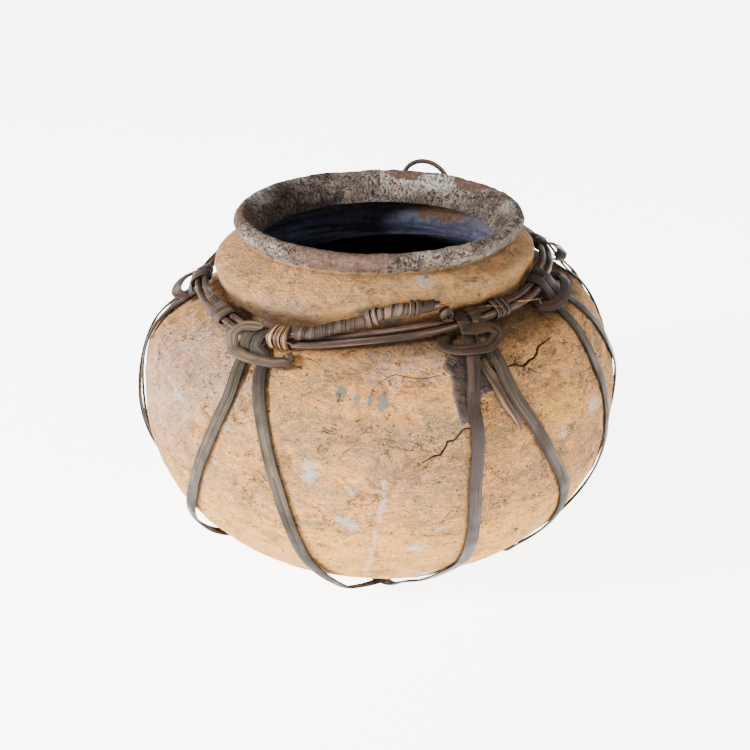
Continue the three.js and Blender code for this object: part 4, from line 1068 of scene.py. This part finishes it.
# How each strap has aged: its tone, how far from its ends it is soiled, and where it is split or keeps bark.
strap_tones = {name: strap_cane for name in ("strap_6_2", "strap_2_5", "strap_3_6", "strap_1_4")}
strap_soiled = {"strap_6_2": 30, "strap_3_6": 40, "strap_4_7": 60}
strap_bark = {"strap_7_3": (70, 130)}
strap_slits = {"strap_2_5": (115, 240), "strap_1_4": (150, 230), "strap_5_1": (60, 170)}
for knot, azimuth in enumerate(knot_azimuths):
    other = (knot + 3) % 7
    name = f"strap_{knot + 1}_{other + 1}"
    under = strap_under(azimuth + right_legs[knot][-1], knot_azimuths[other] + left_legs[other][-1],
                        right_slack[knot][-1], left_slack[other][-1])
    legs = strap_leg(knot, right_legs[knot], right_slack[knot]) + under
    ease_corner(legs, 15, 23)
    legs += strap_leg(other, left_legs[other], left_slack[other])[::-1]
    ease_corner(legs, len(legs) - 24, len(legs) - 16)
    legs = lay_over(legs)
    laid += [(point.copy(), normal) for point, normal in legs]
    rows = strap_turn(azimuth, 1) + legs + strap_turn(knot_azimuths[other], -1)[::-1]
    strap = add_strip(f"split_{name}", rows, strap_width, strap_thickness, soiled=strap_soiled.get(name, 110),
                      slit=strap_slits.get(name, (0, 0)), bark=strap_bark.get(name, (0, 0)))
    tone = strap_tones.get(name, strap_cane_brown)
    finish_piece(strap, tone, "weathered_cane", "harnessed_pot", name)


# Hitch bands: the bight of each knot, a loose collar of split cane over both legs. Its ends go in behind
# the hoop, but at the two front knots one end bends back across the knot. Along the hoop: shift,
# half-width to the left and to the right, reach and rise.
bands = [(0, 20, 20, 21, 3.2), (6.5, 20.7, 25.5, 18, 4), (-3.4, 19, 13.6, 26, 5.4), (0, 21, 21, 19, 3.2),
         (0, 18, 18, 15.5, 5), (0, 20, 20, 18, 3.6), (0, 21, 21, 18, 3.2)]
bent_back = {(1, -1): (-1.8, 5.7, 0.1), (2, 1): (12.5, 4.4, -0.6)}
bundle_reach = strand_spacing / 2 + strand_width / 2


def band_half(knot, side, width, reach, rise):
    """Rows of along, across, up and least distance from the clay, from the middle out."""
    over_legs = strap_seat + strap_thickness + rise
    rows = [(0, reach, rise - 2.6, over_legs), (width * 0.42, reach * 0.95, rise - 2.6, over_legs),
            (width * 0.76, reach * 0.82, 0, over_legs - 1)]
    if (knot, side) in bent_back:
        back, top, end = bent_back[knot, side]
        return rows + [(width, (reach + back) / 2, top * 0.75, strap_seat),
                       (width * 0.84, back + (reach - back) * 0.14, top, strap_seat),
                       (width * 0.5, back, top, strap_seat),
                       (width * (0.5 + end) / 2, back - 0.6, top, strap_seat),
                       (width * end, back - 1, top, strap_seat)]
    under = -(strand_thickness / 2 + 0.3 + strap_thickness / 2 + 0.25)
    return rows + [(width, reach * 0.55, -1.6, strap_seat),
                   (width - 1, bundle_reach + 3.2, under * 0.95, strap_seat),
                   (max(13, width - 6), bundle_reach * 0.8, under, strap_seat + 0.1)]


for knot, (shift, left_width, right_width, reach, rise) in enumerate(bands):
    centre, along, across, up = hoop_frame(knot_azimuths[knot])
    rows = [(-1, *row) for row in band_half(knot, -1, left_width, reach, rise)[:0:-1]]
    rows += [(1, *row) for row in band_half(knot, 1, right_width, reach, rise)]
    rows = [(clear_of_clay(centre + along * (side * a + shift) + across * b + up * c, d), up)
            for side, a, b, c, d in rows]
    for side, end in ((-1, 0), (1, -1)):
        end_width = 0.35 if (knot, side) in bent_back else 0.8
        rows[end] = (*rows[end], end_width)
    slit = (12, 60) if knot in (2, 5) else (0, 0)
    band = add_strip(f"bight_{knot + 1}", rows, 8, strap_thickness, 1.5, slit=slit)
    tone = band_cane if knot == 1 else strap_cane_brown
    finish_piece(band, tone, "weathered_cane", "harnessed_pot", f"hitch_band_{knot + 1}")


# Wraps: narrow strips wound round both turns of the hoop. The joint wrap, of newer orange cane, also
# takes in the root of the tail. Start and end azimuth, turns, extra rise, width.
wrap_thickness = 1.1
wraps = {"wrap_left": (-63, -53, 2, 0, 9.4, binding_cane),
         "wrap_joint": (-31, -25.5, 2.5, 6.2, 4.3, tan_cane),
         "wrap_right": (38.3, 44.6, 3, 0, 3.2, binding_cane)}
for name, (start, end, turns, extra, width, material) in wraps.items():
    reach = bundle_reach + 0.75 + wrap_thickness / 2
    rise = strand_thickness / 2 + 0.75 + wrap_thickness / 2 + extra / 2
    count = round(turns * 24)
    rows = [round_bundle(start + (end - start) * k / count, math.radians(-60 + 360 * turns * k / count),
                         reach, rise, extra / 2) for k in range(count + 1)]
    wrap = add_strip(name.replace("wrap", "binding"), rows, width, wrap_thickness, 0.8, 4, 0.2)
    slot_name = "pale_cane" if name == "wrap_joint" else "weathered_cane"
    finish_piece(wrap, material, slot_name, "harnessed_pot", name)


# Tail: the spare end of the hoop, led across the front and held down by its own close winding of
# split cane, with two more ties over that.
tail_rows = [(polar(azimuth, radius, height), polar(azimuth, 1, 0)) for azimuth, radius, height in (
    (-28.13, 125.19, 197.99), (-24.15, 124.78, 199.69), (-18.16, 122.49, 202.03), (-10.65, 117.51, 205.65),
    (-3.59, 114.24, 209.23), (3.28, 114.59, 214.82), (11.40, 114.14, 215.78), (18.50, 113.73, 216.51))]
tail_line = smooth_line(tail_rows, 0.5)
tail_radius = 2.6


def tail_frame(share):
    k = share * (len(tail_line) - 1)
    i = min(int(k), len(tail_line) - 2)
    point = tail_line[i][0].lerp(tail_line[i + 1][0], k - i)
    along = (tail_line[min(i + 3, len(tail_line) - 1)][0] - tail_line[max(i - 2, 0)][0]).normalized()
    side = along.cross(polar(azimuth_of(point), 1, 0)).normalized()
    return point, side, side.cross(along)


tail = add_cane("tail_rattan", tail_rows, 2 * tail_radius, 2 * tail_radius, 1.5)
finish_piece(tail, hoop_rattan, "weathered_cane", "harnessed_pot", "tail_core")


def wound_on_tail(name, start, end, turns, radius, width, node, lumpy):
    count = round(turns * 20)
    rows = []
    for k in range(count + 1):
        point, side, out = tail_frame(start + (end - start) * k / count)
        angle = 2 * math.pi * turns * k / count
        normal = side * math.cos(angle) + out * math.sin(angle)
        away = radius + lumpy * noise.noise(Vector((k * 0.31, radius, 2.2)))
        rows.append((point + normal * away, normal, 1 + 0.12 * noise.noise(Vector((k * 0.13, 4, radius)))))
    made = add_strip(name, rows, width, wrap_thickness, 0.9, 4, 0.3)
    finish_piece(made, binding_cane, "weathered_cane", "harnessed_pot", node)


wrap_radius = tail_radius + 0.3 + wrap_thickness / 2
wound_on_tail("tail_winding", 0.12, 0.97, 14, wrap_radius, 6, "tail_wrap", 0.5)
tie_radius, half_tie = wrap_radius + wrap_thickness + 0.3, 0.035
for k, place in enumerate((0.58, 0.84)):
    wound_on_tail(f"tail_knot_{k + 1}", place - half_tie, place + half_tie, 1.7, tie_radius, 3,
                  f"tail_tie_{k + 1}", 0.1)


# Rolled end: a strip's dark end rolled up on itself, standing on the hoop just left of the third knot.
centre, along, across, up = hoop_frame(20.8)
roll_radius, roll_pitch, roll_width = 4.4, 1.7, 6
centre += up * (strand_thickness / 2 + 0.3 + roll_radius + wrap_thickness) - across * (strand_spacing * 0.4)
rows = []
for k in range(37):
    angle = math.radians(-90 - 18 * k)
    normal = along * math.cos(angle) + up * math.sin(angle)
    rows.append((centre + normal * (roll_radius - roll_pitch * k / 20), normal))
roll = add_strip("rolled_strip_end", rows, roll_width, wrap_thickness, 0.8, 4, 0.2)
finish_piece(roll, binding_cane, "weathered_cane", "harnessed_pot", "rolled_end")


# Hanging loop: a thin cane bent to an arch behind the mouth, each foot taken once round the hoop as an
# open eye in which it can swing.
loop_azimuth, half_span, loop_height, loop_thickness = 162.5, 17, 32.75, 3.6
eye_radius, eye_pitch, root_rise = 7.87, 4.3, 6
middle = hoop_centre(loop_azimuth)
turn = math.degrees(math.asin(half_span / math.hypot(middle.x, middle.y)))
feet = [hoop_centre(loop_azimuth + side * turn) for side in (-1, 1)]
axis = (feet[1] - feet[0]).normalized()
lean = math.radians(6)
rise = polar(loop_azimuth, -math.sin(lean), math.cos(lean))
rise = (rise - axis * rise.dot(axis)).normalized()
back = axis.cross(rise)


def eye_rows(centre, side):
    rows = []
    for k in range(25):
        angle = math.radians(90 - 15 * k)
        normal = rise * math.cos(angle) + back * math.sin(angle)
        rows.append((centre + axis * (side * eye_pitch * (0.5 - k / 24)) + normal * eye_radius, normal))
    return rows


arch = []
for k in range(1, 14):
    turn = math.pi * k / 14
    point = (feet[0] + feet[1]) / 2 - axis * ((half_span + eye_pitch / 2) * math.cos(turn))
    point += rise * (root_rise + (loop_height - root_rise) * math.sin(turn) ** 0.8)
    arch.append((point + back * (eye_radius * (1 - math.sin(turn) ** 0.5)), back))
loop = add_cane("loop_rattan", eye_rows(feet[0], 1) + arch + eye_rows(feet[1], -1)[::-1], loop_thickness,
                loop_thickness, 2)
finish_piece(loop, hoop_rattan, "weathered_cane", "hanging_loop", "hanging_loop")


# Loose fibres: fine slivers that have split off the cane at the knots, at the wraps and at the tail's end,
# pale or orange where they broke lately. They only lie on the harness.
def add_fibre(start, heading, length, width):
    bend = Vector([random.gauss(0, 0.25) for _ in range(3)])
    facing = polar(azimuth_of(start), 1, 0)
    rows = []
    for share in (0, 0.2, 0.4, 0.6, 0.8, 1):
        rows.append((start + (heading + bend * share) * (length * share), facing, 1 - 0.7 * share))
    return add_cane("fibre", rows, width, width * 0.7, length / 8, 4)


random.seed(21)
fibres = []
tufts = [(-95, 3), (-63, 2), (-53, 3), (-37, 4), (-31, 5), (-26, 5), (20.8, 4), (28, 5), (38, 2), (44, 2),
         (65, 3), (99, 3), (136, 3), (205, 3)]
for azimuth, count in tufts:
    for _ in range(count):
        centre, along, across, up = hoop_frame(azimuth + random.uniform(-3, 3))
        heading = along * random.choice((-1, 1))
        heading += across * random.uniform(-0.2, 0.9)
        heading += up * random.uniform(0.1, 0.6)
        start = centre + across * random.uniform(-3, 5) + up * random.uniform(2.5, 4)
        length, width = random.uniform(4, 12), random.uniform(0.4, 0.9)
        fibres.append(add_fibre(start, heading.normalized(), length, width))
tip, side, out = tail_frame(0.97)
tail_heading = (tip - tail_frame(0.9)[0]).normalized()
for _ in range(7):
    heading = tail_heading + side * random.gauss(0, 0.35) + out * random.gauss(0.1, 0.2)
    start = tip + side * random.uniform(-2, 2)
    fibres.append(add_fibre(start, heading.normalized(), random.uniform(4, 8), 0.8))
_, along, _, up = hoop_frame(-70)
fibres.append(add_fibre(at_hoop(-70, 0, 3.2), (along + up * 0.6).normalized(), 9, 0.8))
_, along, across, _ = hoop_frame(48)
fibres.append(add_fibre(at_hoop(48, 2, 2.5), (along + across * 0.4).normalized(), 19, 0.9))
deselect_all()
for fibre in fibres:
    fibre.select_set(True)
bpy.context.view_layer.objects.active = fibres[0]
bpy.ops.object.join()
fibres[0].name = "loose_fibres"
finish_piece(fibres[0], orange_cane, "weathered_cane", "harnessed_pot")


# Floor: a plain sheet of white paper, 90 m wide so that it fills the picture. It glows a little, so that it
# stays even and pale however the lights fall.
paper_width, paper_glow = 90, 6.2
bpy.ops.mesh.primitive_plane_add(size=paper_width, location=(0, 0, 0))
floor = bpy.context.object
floor.name = "paper_floor"
paper, tree, shader = new_material("paper_white", 0.9, 0.1)
shader.inputs["Base Color"].default_value = from_hex("#f7f7f7")
shader.inputs["Emission Color"].default_value = from_hex("#ffffff")
shader.inputs["Emission Strength"].default_value = paper_glow
floor.data.materials.append(paper)
